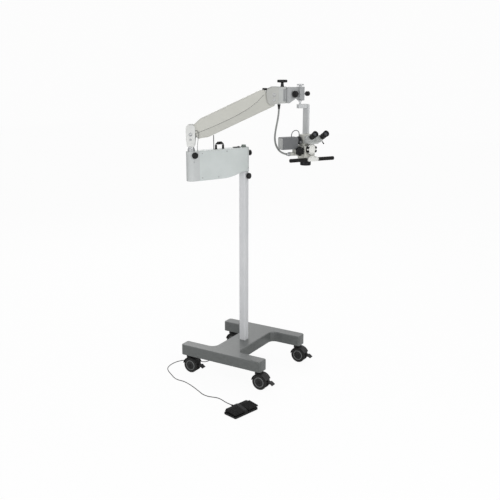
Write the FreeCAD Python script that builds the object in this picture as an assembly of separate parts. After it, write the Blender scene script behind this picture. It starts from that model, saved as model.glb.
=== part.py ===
import FreeCAD, Part
import math
import os

# Surgical microscope on a wheeled floor stand, in millimetres.
# The origin is on the floor on the column's axis. +X runs along the two long beams of the base,
# +Y along the web between them and +Z up.

V = FreeCAD.Vector
UP = V(0, 0, 1)

# clearances
REST_GAP = 0.3
RUNNING_GAP = 0.06

# base casting
BASE_LENGTH = 608.0
BASE_WIDTH = 608.0
BEAM_WIDTH = 81.0
BEAM_HEIGHT = 69.0
BASE_BOTTOM = 122.0
BASE_CORNER = 21.0
WEB_WIDTH = 178.0
WEB_FILLET = 42.0
BASE_WALL = 11.0
BASE_EDGE = 7.0
RIB_THICK = 9.0
BASE_TOP = BASE_BOTTOM + BEAM_HEIGHT

# castors
WHEEL_RADIUS = 50.0
WHEEL_WIDTH = 21.0
WHEEL_GAP = 18.0
CASTOR_TRAIL = 24.0
AXLE_RADIUS = 5.0
HUB_RADIUS = 36.0
HOOD_RADIUS = 55.5
HOOD_SKIN = 3.0
STEM_RADIUS = 8.0
STEM_LENGTH = 40.0
STEM_BOSS_RADIUS = 19.0
BRAKE_LENGTH = 36.0
CASTOR_INSET = BEAM_WIDTH / 2
CASTORS = {
    "front_left": (-1, -1),
    "front_right": (1, -1),
    "rear_left": (-1, 1),
    "rear_right": (1, 1),
}

# column
COLUMN_SIZE = 46.0
COLUMN_WALL = 3.0
COLUMN_CORNER = 6.0
COLUMN_TOP = 1326.0
COLUMN_HEAD_HEIGHT = 62.0
SPIGOT_RADIUS = 15.0

# swing housing, drawn with +x from the column to the post
SWING_HEADING = 246.4
SWING_LENGTH = 388.0
SWING_WIDTH = 64.0
SWING_TOP = 1482.0
SWING_DEPTH = 182.0
SWING_SKIN = 2.5
SWING_NECK_DEPTH = 152.0
END_BLOCK_LENGTH = 40.0
SWING_BAR = 26.0
SWING_BOTTOM = SWING_TOP - SWING_DEPTH

# post and yoke
POST_RADIUS = 17.0
POST_COLLAR_RADIUS = 22.0
YOKE_WIDTH = 56.0
YOKE_CHEEK = 8.0
YOKE_FLOOR = 10.0
PIVOT_Z = 1585.0
PIVOT_RADIUS = 8.0
ROD_PIVOT_RADIUS = 4.0
ROD_OFFSET = 30.0

# spring arm, drawn level with +x from the rear pivot to the front pivot
ARM_HEADING = 31.4
ARM_PITCH = 25.0
ARM_LENGTH = 548.0
ARM_WIDTH = 70.0
ARM_DEPTH = 118.0
ARM_SKIN = 2.0
ARM_EDGE = 7.0
BEAM_TUBE_WIDTH = 44.0
BEAM_TUBE_HEIGHT = 30.0
BEAM_TUBE_WALL = 3.0
ROD_RADIUS = 5.0
ROD_EYE_RADIUS = 7.4
SPRING_RADIUS = 11.0
SPRING_WIRE = 2.5

# arm head and carrier, drawn with +x along the arm's heading
HEAD_TOP = 46.0
HEAD_BOTTOM = -50.0
HEAD_REAR = -20.0
SWIVEL_OFFSET = 48.0
EYE_RADIUS = 19.0
LUG_THICK = 13.0
LUG_RADIUS = 27.0
NECK_HALF = 9.0
FORK_MOUTH = 4.0
SWIVEL_PIN_RADIUS = 9.0
CARRIER_REACH = 107.0
WEB_HALF = 18.0
WEB_HALF_AT_BLOCK = 10.0
BLOCK_SIZE = 38.0
BLOCK_HEADING = 44.0
BLOCK_TOP = 46.0
BLOCK_BOTTOM = -34.0
HANGING_PIN_RADIUS = 6.0

# microscope, drawn with +x to the surgeon's right, +y away from the surgeon, origin on the optical axis
SCOPE_HEADING = 58.4
PIN_BEHIND_AXIS = 75.0
BRACKET_THICK = 12.0
BRACKET_DEPTH = 58.0
BRACKET_SIDE = 45.0
BRACKET_TOP = 1761.0
BRACKET_BAR = 24.0
TILT_Z = 1500.0
TILT_Y = 12.0
TILT_RADIUS = 8.0
BODY_WIDTH = 74.0
BODY_BOTTOM = 1438.0
BODY_TOP = 1525.0
BODY_FRONT = -50.0
BODY_REAR = 38.0
SPLITTER_TOP = 1590.0
SPLITTER_WIDTH = 70.0
OBJECTIVE_RADIUS = 32.0
OBJECTIVE_BOTTOM = 1407.0
LENS_RADIUS = 25.0
DRUM_RADIUS = 31.5
DRUM_THICK = 22.0
DRUM_Z = 1507.0
TUBE_RISE = 28.0
EYE_SPACING = 73.0
EYE_Y = -142.0
EYE_Z = 1596.0
HINGE_SPACING = 28.0
EYEPIECE_RADIUS = 16.5
EYEPIECE_LENGTH = 50.0
HANDLE_Y = -72.0
HANDLE_Z = 1449.0
HANDLE_REACH = 150.0
HANDLE_RADIUS = 7.0
GRIP_RADIUS = 11.0
GRIP_INNER = (-34.0, 44.0)
PORT_Z = 1478.0
PORT_MOUTH = -115.0
PORT_RADIUS = 11.0
PORT_BORE = 14.0
CAMERA_LENGTH = 106.0
CAMERA_WIDTH = 58.0
CAMERA_HEIGHT = 70.0

# knobs
KNOB_SHAFT_RADIUS = 4.0
KNOB_SHAFT_LENGTH = 14.0
SMALL_KNOB_RADIUS = 19.0
SMALL_KNOB_THICK = 18.0
TEE_KNOB_RADIUS = 30.0
LEFT_KNOB = (20.0, 13.0, 19.0)
RIGHT_KNOB = (14.0, 20.0, 36.0)
STAR_KNOB_RADIUS = 27.0

# foot switch
SWITCH_CENTRE = (349.0, -604.0)
SWITCH_HEADING = 76.0
SWITCH_LENGTH = 187.0
SWITCH_WIDTH = 100.0
SWITCH_BASE = 12.0
RIDGE_WIDTH = 26.0
RIDGE_HEIGHT = 38.0
PEDAL_GAP = 1.5
PEDAL_THICK = 12.0
PEDAL_HINGE_RADIUS = 3.0

# leads
CORD_RADIUS = 2.6
GUIDE_RADIUS = 5.5
LEAD_RADIUS = 2.5


def turn(degrees):
    return math.cos(math.radians(degrees)), math.sin(math.radians(degrees))


def corner_edges(corners):
    """Straight edges and corner arcs of a closed outline given as (x, y, corner radius)."""
    count = len(corners)
    starts = []
    edges = []
    for index in range(count):
        here = V(corners[index][0], corners[index][1], 0)
        before = V(*corners[index - 1][:2], 0) - here
        after = V(*corners[(index + 1) % count][:2], 0) - here
        radius = corners[index][2]
        before.normalize()
        after.normalize()
        if radius <= 0:
            starts.append((here, here))
            continue
        half = before.getAngle(after) / 2
        reach = radius / math.tan(half)
        middle = before + after
        middle.normalize()
        crown = here + middle * (radius / math.sin(half) - radius)
        first = here + before * reach
        last = here + after * reach
        starts.append((first, last))
        edges.append((index, Part.Arc(first, crown, last).toShape()))
    arcs = dict(edges)
    ring = []
    for index in range(count):
        if index in arcs:
            ring.append(arcs[index])
        leave = starts[index][1]
        arrive = starts[(index + 1) % count][0]
        if leave.distanceToPoint(arrive) > 1e-6:
            ring.append(Part.LineSegment(leave, arrive).toShape())
    return ring


def prism(corners, low, high, plane="XY"):
    """Outline extruded from low to high along the third axis of its plane."""
    face = Part.Face(Part.Wire(corner_edges(corners)))
    if plane == "XZ":
        solid = face.extrude(V(0, 0, high - low))
        solid.translate(V(0, 0, -high))
        solid.rotate(V(0, 0, 0), V(1, 0, 0), 90)
        return solid
    solid = face.extrude(V(0, 0, high - low))
    solid.translate(V(0, 0, low))
    if plane == "YZ":
        solid.rotate(V(0, 0, 0), V(1, 1, 1), 120)
    return solid


def block(x, y, z, corner=0.0):
    """Box between pairs of limits, its upright edges rounded by the corner radius."""
    outline = [(x[0], y[0], corner), (x[1], y[0], corner), (x[1], y[1], corner), (x[0], y[1], corner)]
    return prism(outline, z[0], z[1])


def turned(outline):
    """Solid of revolution about Z of a closed (radius, height) outline."""
    points = [V(r, 0, z) for r, z in outline]
    face = Part.Face(Part.makePolygon(points + [points[0]]))
    return face.revolve(V(0, 0, 0), UP, 360)


def aimed(shape, at, toward):
    """Shape drawn on the Z axis, moved to a point and turned to look along a direction."""
    copy = shape.copy()
    copy.Placement = FreeCAD.Placement(V(*at), FreeCAD.Rotation(UP, V(*toward)))
    return copy


def rod(radius, start, toward, length):
    return Part.makeCylinder(radius, length, V(*start), V(*toward))


def bar(radius, start, end):
    run = V(*end) - V(*start)
    return Part.makeCylinder(radius, run.Length, V(*start), run)


def fuse(first, *others):
    return first.multiFuse(list(others)).removeSplitter()


def group(*solids):
    return Part.Compound(list(solids))


def soften(solid, radius, chosen):
    """Fillet of the edges that a test picks."""
    edges = [edge for edge in solid.Edges if chosen(edge)]
    return solid.makeFillet(radius, edges)


def level_at(height):
    """Test for edges that lie flat at a height."""
    def chosen(edge):
        box = edge.BoundBox
        return abs(box.ZMin - height) < 1e-4 and abs(box.ZMax - height) < 1e-4
    return chosen


def across_at(axis, *places):
    """Test for edges that lie in planes across an axis at the given places."""
    def chosen(edge):
        box = edge.BoundBox
        low, high = {"x": (box.XMin, box.XMax), "y": (box.YMin, box.YMax), "z": (box.ZMin, box.ZMax)}[axis]
        return any(abs(low - place) < 1e-4 and abs(high - place) < 1e-4 for place in places)
    return chosen


def seated(shape, heading, origin):
    """Shape turned about Z to a heading and carried to its origin."""
    copy = shape.copy()
    copy.Placement = FreeCAD.Placement(V(*origin), FreeCAD.Rotation(UP, heading)).multiply(copy.Placement)
    return copy


def knob(radius, thick, shaft_radius=KNOB_SHAFT_RADIUS, shaft_length=KNOB_SHAFT_LENGTH):
    """Round knob with a chamfered grip, standing on z = 0 with its shaft going below."""
    neck = shaft_radius + 3
    chamfer = thick * 0.16
    return turned([
        (0, -shaft_length),
        (shaft_radius, -shaft_length),
        (shaft_radius, REST_GAP),
        (neck, REST_GAP),
        (neck, thick * 0.25),
        (radius - chamfer, thick * 0.25),
        (radius, thick * 0.25 + chamfer),
        (radius, thick - chamfer),
        (radius - chamfer, thick),
        (0, thick),
    ])


def shaft_hole(at, toward, radius=KNOB_SHAFT_RADIUS, depth=KNOB_SHAFT_LENGTH):
    """Running hole for a shaft that enters against the given outward direction."""
    back = V(*toward)
    back.normalize()
    start = V(*at) + back
    return Part.makeCylinder(radius + RUNNING_GAP, depth + 1 + REST_GAP, start, back * -1)


def lobed(radius, lobes, thick, bite):
    """Disc with finger hollows round its rim."""
    disc = Part.makeCylinder(radius, thick)
    hollows = []
    for index in range(lobes):
        c, s = turn(360 / lobes * index)
        reach = radius + bite * 0.45
        hollows.append(Part.makeCylinder(bite, thick, V(reach * c, reach * s, 0)))
    return disc.cut(hollows)


def arc_route(points):
    """Path of straight runs joined by tangent arcs, and the radii of its arcs."""
    spots = [V(*p) for p in points]
    edges = []
    radii = []
    start = spots[0]
    for index in range(1, len(spots) - 1):
        here = spots[index]
        back = spots[index - 1] - here
        ahead = spots[index + 1] - here
        shorter = min(back.Length, ahead.Length)
        back.normalize()
        ahead.normalize()
        half = back.getAngle(ahead) / 2
        reach = 0.45 * shorter
        radius = reach * math.tan(half)
        middle = back + ahead
        middle.normalize()
        first = here + back * reach
        last = here + ahead * reach
        crown = here + middle * (radius / math.sin(half) - radius)
        edges.append(Part.LineSegment(start, first).toShape())
        edges.append(Part.Arc(first, crown, last).toShape())
        radii.append(radius)
        start = last
    edges.append(Part.LineSegment(start, spots[-1]).toShape())
    return Part.Wire(edges), radii


def tube_along(name, points, radius):
    """Round cord along a route; its volume is compared with section times length."""
    path, radii = arc_route(points)
    start = V(*points[0])
    heading = V(*points[1]) - start
    section = Part.Wire(Part.Circle(start, heading, radius).toShape())
    solid = path.makePipeShell([section], True, False)
    ratio = solid.Volume / (math.pi * radius ** 2 * path.Length)
    print(name, "length", round(path.Length), "volume ratio", round(ratio, 4),
          "smallest radius", round(min(radii), 1), "of", [round(r) for r in radii])
    return solid


def post_origin():
    c, s = turn(SWING_HEADING)
    return SWING_LENGTH * c, SWING_LENGTH * s


def along_arm(distance):
    """Point on the floor plan at a distance from the post along the arm's heading."""
    c, s = turn(ARM_HEADING)
    x, y = post_origin()
    return x + distance * c, y + distance * s


def front_pivot():
    c, s = turn(ARM_PITCH)
    x, y = along_arm(ARM_LENGTH * c)
    return x, y, PIVOT_Z + ARM_LENGTH * s


def swivel_point():
    c, _ = turn(ARM_PITCH)
    return along_arm(ARM_LENGTH * c + SWIVEL_OFFSET)


def pin_point():
    c, _ = turn(ARM_PITCH)
    return along_arm(ARM_LENGTH * c + SWIVEL_OFFSET + CARRIER_REACH)


def scope_origin():
    c, s = turn(SCOPE_HEADING)
    x, y = pin_point()
    return x + PIN_BEHIND_AXIS * s, y - PIN_BEHIND_AXIS * c, 0


def on_swing(shape):
    return seated(shape, SWING_HEADING, (0, 0, 0))


def on_post(shape):
    return seated(shape, ARM_HEADING, (*post_origin(), 0))


def on_arm(shape):
    """Shape drawn level from the rear pivot, pitched up and carried to the pivot."""
    copy = shape.copy()
    pitch = FreeCAD.Placement(V(0, 0, 0), FreeCAD.Rotation(V(0, 1, 0), -ARM_PITCH))
    copy.Placement = pitch.multiply(copy.Placement)
    return seated(copy, ARM_HEADING, (*post_origin(), PIVOT_Z))


def on_head(shape):
    return seated(shape, ARM_HEADING, front_pivot())


def on_scope(shape):
    return seated(shape, SCOPE_HEADING, scope_origin())


# Base

def h_outline(inset):
    """Plan of the base: two beams and the web, all sides moved inwards by the inset."""
    half_x = BASE_LENGTH / 2 - inset
    half_y = BASE_WIDTH / 2 - inset
    inner_y = BASE_WIDTH / 2 - BEAM_WIDTH + inset
    web = WEB_WIDTH / 2 - inset
    corner = max(BASE_CORNER - inset, 3)
    inner_corner = max(BASE_CORNER - 6 - inset, 3)
    fillet = WEB_FILLET + inset
    right = [
        (half_x, -half_y, corner),
        (half_x, -inner_y, inner_corner),
        (web, -inner_y, fillet),
        (web, inner_y, fillet),
        (half_x, inner_y, inner_corner),
        (half_x, half_y, corner),
    ]
    left = [(-x, -y, r) for x, y, r in right]
    return right + left


def castor_place(name):
    side_x, side_y = CASTORS[name]
    return (side_x * (BASE_LENGTH / 2 - CASTOR_INSET), side_y * (BASE_WIDTH / 2 - CASTOR_INSET))


def base_casting():
    body = prism(h_outline(0), BASE_BOTTOM, BASE_TOP)
    body = soften(body, BASE_EDGE, level_at(BASE_TOP))
    hollow = prism(h_outline(BASE_WALL), BASE_BOTTOM - 1, BASE_TOP - BASE_WALL)
    body = body.cut(hollow)
    inner_y = BASE_WIDTH / 2 - BEAM_WIDTH + BASE_WALL
    web = WEB_WIDTH / 2 - BASE_WALL
    rib_z = (BASE_BOTTOM + 12, BASE_TOP - BASE_WALL / 2)
    added = []
    for side in (-1, 1):
        rib_y = side * (COLUMN_SIZE / 2 + RIB_THICK + 24)
        added.append(block((-web - 1, web + 1), (rib_y - RIB_THICK / 2, rib_y + RIB_THICK / 2), rib_z))
        long_y = sorted((side * 50, side * (inner_y + 8)))
        added.append(block((-RIB_THICK / 2, RIB_THICK / 2), long_y, rib_z))
    socket = COLUMN_SIZE / 2 + 11
    added.append(block((-socket, socket), (-socket, socket), (BASE_BOTTOM + 6, BASE_TOP - 2), 8))
    for name in CASTORS:
        x, y = castor_place(name)
        added.append(rod(STEM_BOSS_RADIUS, (x, y, BASE_BOTTOM), (0, 0, 1), BEAM_HEIGHT - BASE_WALL / 2))
    body = fuse(body, *added)
    half = COLUMN_SIZE / 2
    column_hole = block((-half, half), (-half, half), (BASE_BOTTOM + 16, BASE_TOP + 1), COLUMN_CORNER)
    holes = [column_hole]
    for name in CASTORS:
        x, y = castor_place(name)
        holes.append(rod(STEM_RADIUS + RUNNING_GAP, (x, y, BASE_BOTTOM - 1), (0, 0, 1), STEM_LENGTH + 3))
    holes.append(rod(GLAND_RADIUS, (-WEB_WIDTH / 2 - 1, GLAND_Y, GLAND_Z), (1, 0, 0), BASE_WALL + 2))
    return body.cut(holes)


GLAND_RADIUS = 7.0
GLAND_Y = -70.0
GLAND_Z = 150.0
GLAND_REACH = 16.0


def cord_gland():
    """Nut and barrel that the foot-switch cord leaves the web by."""
    barrel = turned([
        (CORD_RADIUS, -BASE_WALL - 5), (GLAND_RADIUS, -BASE_WALL - 5), (GLAND_RADIUS, 0),
        (GLAND_RADIUS + 4, 0), (GLAND_RADIUS + 4, 6), (GLAND_RADIUS, 8), (GLAND_RADIUS - 2.5, GLAND_REACH),
        (CORD_RADIUS, GLAND_REACH),
    ])
    return aimed(barrel, (-WEB_WIDTH / 2, GLAND_Y, GLAND_Z), (-1, 0, 0))


# Castors, drawn about the swivel axis with the floor at z = 0

def castor_hood():
    """Stem, boss, web between the wheels and the skin over both of them."""
    web = WHEEL_GAP / 2 - 1.5
    axle_z = WHEEL_RADIUS
    nose = (CASTOR_TRAIL + WHEEL_RADIUS + 6, axle_z + 4)
    side = [
        (-14, BASE_BOTTOM - 12, 4),
        (-12, axle_z + 26, 6),
        (CASTOR_TRAIL - 14, axle_z - 14, 12),
        (CASTOR_TRAIL + 16, axle_z - 14, 10),
        (nose[0] + 6, nose[1] - 7, 5),
        (nose[0] + 6, nose[1] + 7, 5),
        (CASTOR_TRAIL + 30, axle_z + 46, 18),
        (18, BASE_BOTTOM - 12, 4),
    ]
    plate = prism(side, -web, web, "XZ")
    skin = Part.makeCylinder(HOOD_RADIUS, 2 * WHEEL_WIDTH + WHEEL_GAP, V(0, 0, 0), V(0, 1, 0))
    inner = Part.makeCylinder(HOOD_RADIUS - HOOD_SKIN, 2 * WHEEL_WIDTH + WHEEL_GAP, V(0, 0, 0), V(0, 1, 0))
    skin = skin.cut(inner)
    skin.translate(V(CASTOR_TRAIL, -WHEEL_WIDTH - WHEEL_GAP / 2, axle_z))
    far = 2 * HOOD_RADIUS
    wedge = prism([
        (CASTOR_TRAIL, axle_z, 0),
        (CASTOR_TRAIL + far * turn(22)[0], axle_z + far * turn(22)[1], 0),
        (CASTOR_TRAIL, axle_z + far, 0),
        (CASTOR_TRAIL + far * turn(172)[0], axle_z + far * turn(172)[1], 0),
    ], -far, far, "XZ")
    skin = skin.common(wedge)
    boss_low = axle_z + HOOD_RADIUS - HOOD_SKIN + 0.5
    boss = rod(STEM_BOSS_RADIUS, (0, 0, boss_low - 8), (0, 0, 1), BASE_BOTTOM - REST_GAP - boss_low + 8)
    clear = rod(HOOD_RADIUS - HOOD_SKIN, (CASTOR_TRAIL, -far, axle_z), (0, 1, 0), far * 2)
    boss = boss.cut(clear)
    stem = rod(STEM_RADIUS, (0, 0, BASE_BOTTOM - 6), (0, 0, 1), STEM_LENGTH + 6)
    hood = fuse(plate, skin, boss, stem)
    axle_hole = rod(AXLE_RADIUS + RUNNING_GAP, (CASTOR_TRAIL, -web - 1, axle_z), (0, 1, 0), 2 * web + 2)
    hinge_hole = rod(3 + RUNNING_GAP, (nose[0], -web - 1, nose[1]), (0, 1, 0), 2 * web + 2)
    return hood.cut([axle_hole, hinge_hole])


def castor_wheels():
    """Two wheels joined by their axle."""
    wheel = turned([
        (0, 0), (HUB_RADIUS - 2, 0), (HUB_RADIUS, 2), (WHEEL_RADIUS - 8, 2), (WHEEL_RADIUS - 3, 1),
        (WHEEL_RADIUS, 5), (WHEEL_RADIUS, WHEEL_WIDTH - 5), (WHEEL_RADIUS - 3, WHEEL_WIDTH - 1),
        (WHEEL_RADIUS - 8, WHEEL_WIDTH - 2), (HUB_RADIUS, WHEEL_WIDTH - 2), (HUB_RADIUS - 3, WHEEL_WIDTH - 4),
        (14, WHEEL_WIDTH - 4), (12, WHEEL_WIDTH), (0, WHEEL_WIDTH),
    ])
    centre = (CASTOR_TRAIL, 0, WHEEL_RADIUS)
    pair = [rod(AXLE_RADIUS, (CASTOR_TRAIL, -WHEEL_GAP / 2 - 2, WHEEL_RADIUS), (0, 1, 0), WHEEL_GAP + 4)]
    for side in (-1, 1):
        at = (centre[0], side * WHEEL_GAP / 2, centre[2])
        pair.append(aimed(wheel, at, (0, side, 0)))
    return fuse(*pair)


def brake_pivot():
    """Hinge of the brake pedal, from the swivel axis."""
    return CASTOR_TRAIL + WHEEL_RADIUS + 6, WHEEL_RADIUS + 4


def castor_brake():
    """Pedal with two ears on a hinge pin and a ribbed tread plate."""
    x, z = brake_pivot()
    web = WHEEL_GAP / 2 - 1.5
    ear_out = web + REST_GAP + 4
    arms = []
    for side in (-1, 1):
        low, high = sorted((side * (web + REST_GAP), side * ear_out))
        arms.append(prism([
            (x - 7, z - 7, 6), (x - 7, z + 7, 6), (x + 12, z + 7, 3), (x + 16, z - 7, 3),
        ], low, high, "XZ"))
    tread = prism([
        (x + 8, z + 1, 0), (x + 8, z + 7, 2), (x + 16, z + 7, 2), (x + BRAKE_LENGTH, z - 7, 2),
        (x + BRAKE_LENGTH - 2, z - 13, 2), (x + 14, z - 2, 3),
    ], -16, 16, "XZ")
    pin = rod(3, (x, -ear_out, z), (0, 1, 0), 2 * ear_out)
    ribs = []
    for index in range(3):
        rib_x = x + 18 + 6 * index
        rib_z = z + 4 - 4.2 * index
        ribs.append(bar(1.2, (rib_x, -15, rib_z), (rib_x, 15, rib_z)))
    return fuse(tread, *arms, pin, *ribs)


def castor_parts(name):
    x, y = castor_place(name)
    place = (x, y, 0)
    return {
        "castor_hood_" + name: seated(castor_hood(), 0, place),
        "castor_wheels_" + name: seated(castor_wheels(), 0, place),
        "castor_brake_" + name: seated(castor_brake(), 0, place),
    }


# Column

COLUMN_KNOB_Z = COLUMN_TOP - 26.0


def column_tube():
    """Square tube with a solid bearing head bored for the swing spigot."""
    half = COLUMN_SIZE / 2
    inner = half - COLUMN_WALL
    foot = BASE_BOTTOM + 16
    tube = block((-half, half), (-half, half), (foot, COLUMN_TOP), COLUMN_CORNER)
    inside = block((-inner, inner), (-inner, inner), (foot - 1, COLUMN_TOP - COLUMN_HEAD_HEIGHT),
                   COLUMN_CORNER - COLUMN_WALL)
    bore = rod(SPIGOT_RADIUS + RUNNING_GAP, (0, 0, COLUMN_TOP - COLUMN_HEAD_HEIGHT - 1), (0, 0, 1),
               COLUMN_HEAD_HEIGHT + 2)
    knob_hole = shaft_hole((half, 0, COLUMN_KNOB_Z), (1, 0, 0), depth=half - SPIGOT_RADIUS - 1.5)
    return tube.cut([inside, bore, knob_hole])


def column_clamp_knob():
    """Round clamp knob on the side of the column head, with a domed cap."""
    depth = COLUMN_SIZE / 2 - SPIGOT_RADIUS - 1.5
    body = knob(SMALL_KNOB_RADIUS, 24, shaft_length=depth)
    return aimed(body, (COLUMN_SIZE / 2, 0, COLUMN_KNOB_Z), (1, 0, 0))


# Swing housing

def swing_plan(inset, start, end, low, high):
    """Plan of the slim housing: straight sides with a round nose at either open end."""
    half = SWING_WIDTH / 2 - inset
    nose = half - 0.01
    left = start + inset if start > -SWING_WIDTH / 2 else -half
    right = end - inset if end < SWING_LENGTH else SWING_LENGTH + half
    left_corner = nose if left == -half else 0
    right_corner = nose if right == SWING_LENGTH + half else 0
    return prism([
        (left, -half, left_corner), (right, -half, right_corner),
        (right, half, right_corner), (left, half, left_corner),
    ], low, high)


def swing_side(inset):
    """Side view of the housing, deep at the post and shallower over the column."""
    top = SWING_TOP - inset
    low = SWING_BOTTOM + inset
    neck = SWING_TOP - SWING_NECK_DEPTH + inset
    far = SWING_LENGTH + SWING_WIDTH
    left = -SWING_WIDTH / 2 - 10
    first = V(far, low, 0)
    flat_end = V(SWING_LENGTH - 198, low, 0)
    neck_end = V(38, neck, 0)
    crown = V((flat_end.x + neck_end.x) / 2 - 6, low + (neck - low) * 0.26, 0)
    nose = V(left, neck, 0)
    tip = V(left, top, 0)
    corner = V(far, top, 0)
    wire = Part.Wire([
        Part.LineSegment(first, flat_end).toShape(),
        Part.Arc(flat_end, crown, neck_end).toShape(),
        Part.LineSegment(neck_end, nose).toShape(),
        Part.LineSegment(nose, tip).toShape(),
        Part.LineSegment(tip, corner).toShape(),
        Part.LineSegment(corner, first).toShape(),
    ])
    width = SWING_WIDTH + 20
    solid = Part.Face(wire).extrude(V(0, 0, width))
    solid.translate(V(0, 0, -width / 2))
    solid.rotate(V(0, 0, 0), V(1, 0, 0), 90)
    return solid


SHELL_END = SWING_LENGTH - END_BLOCK_LENGTH


def swing_housing():
    """Sheet cover, closed all round, with holes for what passes through it."""
    outer = swing_plan(0, -SWING_WIDTH, SHELL_END, SWING_BOTTOM - 5, SWING_TOP).common(swing_side(0))
    outer = soften(outer, 5, level_at(SWING_TOP))
    inner = swing_plan(SWING_SKIN, -SWING_WIDTH, SHELL_END, SWING_BOTTOM - 5, SWING_TOP)
    inner = inner.common(swing_side(SWING_SKIN))
    bezel = block((SWITCH_X - 22.5, SWITCH_X + 22.5), (-10, 10), (SWING_TOP - 1, SWING_TOP + 4), 2)
    shell = fuse(outer.cut(inner), bezel)
    holes = [
        rod(SPIGOT_RADIUS + 9, (0, 0, SWING_BOTTOM), (0, 0, 1), SWING_DEPTH / 2),
        block((SHELL_END - SWING_SKIN - 1, SHELL_END + 1), (-15, 15), (1400, 1460)),
        shaft_hole((-SWING_WIDTH / 2, 0, SWING_KNOB_Z), (-1, 0, 0), depth=SWING_SKIN + 2),
        shaft_hole((BRIGHTNESS_X, 0, SWING_TOP), (0, 0, 1), depth=SWING_SKIN + 2),
        block((SWITCH_X - 19.5, SWITCH_X + 19.5), (-7.5, 7.5), (SWING_TOP - 4, SWING_TOP + 5)),
        bar(1.5 + RUNNING_GAP, (SWITCH_X, -8.6, SWITCH_PIVOT_Z), (SWITCH_X, 8.6, SWITCH_PIVOT_Z)),
    ]
    for x in HANDLE_EARS:
        holes.append(rod(HANDLE_FOOT_RADIUS, (x, 0, SWING_TOP - 4), (0, 0, 1), 5))
    return shell.cut(holes)


SWING_KNOB_Z = 1443.0
POST_KNOB_Z = 1459.0
BRIGHTNESS_X = 2.0
SWITCH_X = 56.0
SWITCH_PIVOT_Z = SWING_TOP + 1.8
ROCKER_TILT = 7.0
HANDLE_EARS = (158.0, 210.0)
HANDLE_FOOT_RADIUS = 4.0


def swing_frame():
    """Inner bar, spigot over the column and the end block that carries the post."""
    thrust = turned([
        (0, COLUMN_TOP - COLUMN_HEAD_HEIGHT + 2), (SPIGOT_RADIUS, COLUMN_TOP - COLUMN_HEAD_HEIGHT + 2),
        (SPIGOT_RADIUS, COLUMN_TOP + REST_GAP), (SPIGOT_RADIUS + 8, COLUMN_TOP + REST_GAP),
        (SPIGOT_RADIUS + 8, 1404), (0, 1404),
    ])
    beam = block((-10, SHELL_END + 4), (-SWING_BAR / 2, SWING_BAR / 2), (1403, 1456), 3)
    end = swing_plan(0, SHELL_END, SWING_LENGTH + SWING_WIDTH, SWING_BOTTOM, SWING_TOP)
    end = soften(end, 4, across_at("z", SWING_BOTTOM, SWING_TOP))
    frame = fuse(thrust, beam, end)
    holes = [
        rod(POST_RADIUS + RUNNING_GAP, (SWING_LENGTH, 0, SWING_TOP - 92), (0, 0, 1), 93),
        shaft_hole((SWING_LENGTH, SWING_WIDTH / 2, POST_KNOB_Z), (0, 1, 0),
                   depth=SWING_WIDTH / 2 - POST_RADIUS - 2),
        rod(3, (SWING_LENGTH, SWING_WIDTH / 2 + 1, POST_KNOB_Z - 40), (0, -1, 0), 9),
    ]
    return frame.cut(holes)


def power_supply():
    """Transformer core with its two windings on a mounting foot."""
    core = block((70, 150), (-22, 22), (1332, 1392), 2)
    foot = block((60, 160), (-24, 24), (1326, 1331.9))
    windings = [block((x - 12, x + 12), (-26, 26), (1345, 1380), 4) for x in (92, 128)]
    return fuse(core, foot, *windings)


def carry_handle():
    """Bail of round bar with two feet in the cover."""
    left, right = HANDLE_EARS
    low = SWING_TOP - SWING_SKIN
    top = SWING_TOP + 36
    path = [(left, 0, low), (left, 0, top), (right, 0, top), (right, 0, low)]
    corners = [V(*p) for p in path]
    bend = 9.0
    edges = [
        Part.LineSegment(corners[0], corners[1] - V(0, 0, bend)).toShape(),
        Part.Arc(corners[1] - V(0, 0, bend), corners[1] + V(bend, 0, -bend) + V(-bend, 0, bend) * math.sqrt(0.5),
                 corners[1] + V(bend, 0, 0)).toShape(),
        Part.LineSegment(corners[1] + V(bend, 0, 0), corners[2] - V(bend, 0, 0)).toShape(),
        Part.Arc(corners[2] - V(bend, 0, 0), corners[2] + V(-bend, 0, -bend) + V(bend, 0, bend) * math.sqrt(0.5),
                 corners[2] - V(0, 0, bend)).toShape(),
        Part.LineSegment(corners[2] - V(0, 0, bend), corners[3]).toShape(),
    ]
    section = Part.Wire(Part.Circle(corners[0], UP, HANDLE_FOOT_RADIUS - RUNNING_GAP).toShape())
    bail = Part.Wire(edges).makePipeShell([section], True, False)
    sleeve = rod(7.5, ((left + right) / 2 - 13, 0, top), (1, 0, 0), 26)
    return fuse(bail, sleeve)


def power_switch():
    """Rocker that tips in its frame on the cover."""
    rocker = prism([
        (-18, -1.5, 1), (-18, 5, 1.5), (0, 2.4, 20), (18, 5, 1.5), (18, -1.5, 1), (0, -3, 0),
    ], -7, 7, "XZ")
    rocker = fuse(rocker, bar(1.5, (0, -8.3, 0), (0, 8.3, 0)))
    rocker.rotate(V(0, 0, 0), V(0, 1, 0), ROCKER_TILT)
    rocker.translate(V(SWITCH_X, 0, SWITCH_PIVOT_Z))
    return rocker


def brightness_knob():
    body = knob(17, 15, shaft_length=SWING_SKIN)
    return aimed(body, (BRIGHTNESS_X, 0, SWING_TOP), (0, 0, 1))


def post_brake_knob():
    body = knob(SMALL_KNOB_RADIUS, 20, shaft_length=SWING_WIDTH / 2 - POST_RADIUS - 2)
    return aimed(body, (SWING_LENGTH, SWING_WIDTH / 2, POST_KNOB_Z), (0, 1, 0))


def swing_brake_knob():
    body = knob(SMALL_KNOB_RADIUS - 1, 20, shaft_length=SWING_SKIN)
    return aimed(body, (-SWING_WIDTH / 2, 0, SWING_KNOB_Z), (-1, 0, 0))


# Post and yoke, drawn about the post's axis with +x along the arm's heading

YOKE_BOTTOM = PIVOT_Z - 72.0
YOKE_TOP = PIVOT_Z + 56.0


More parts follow.
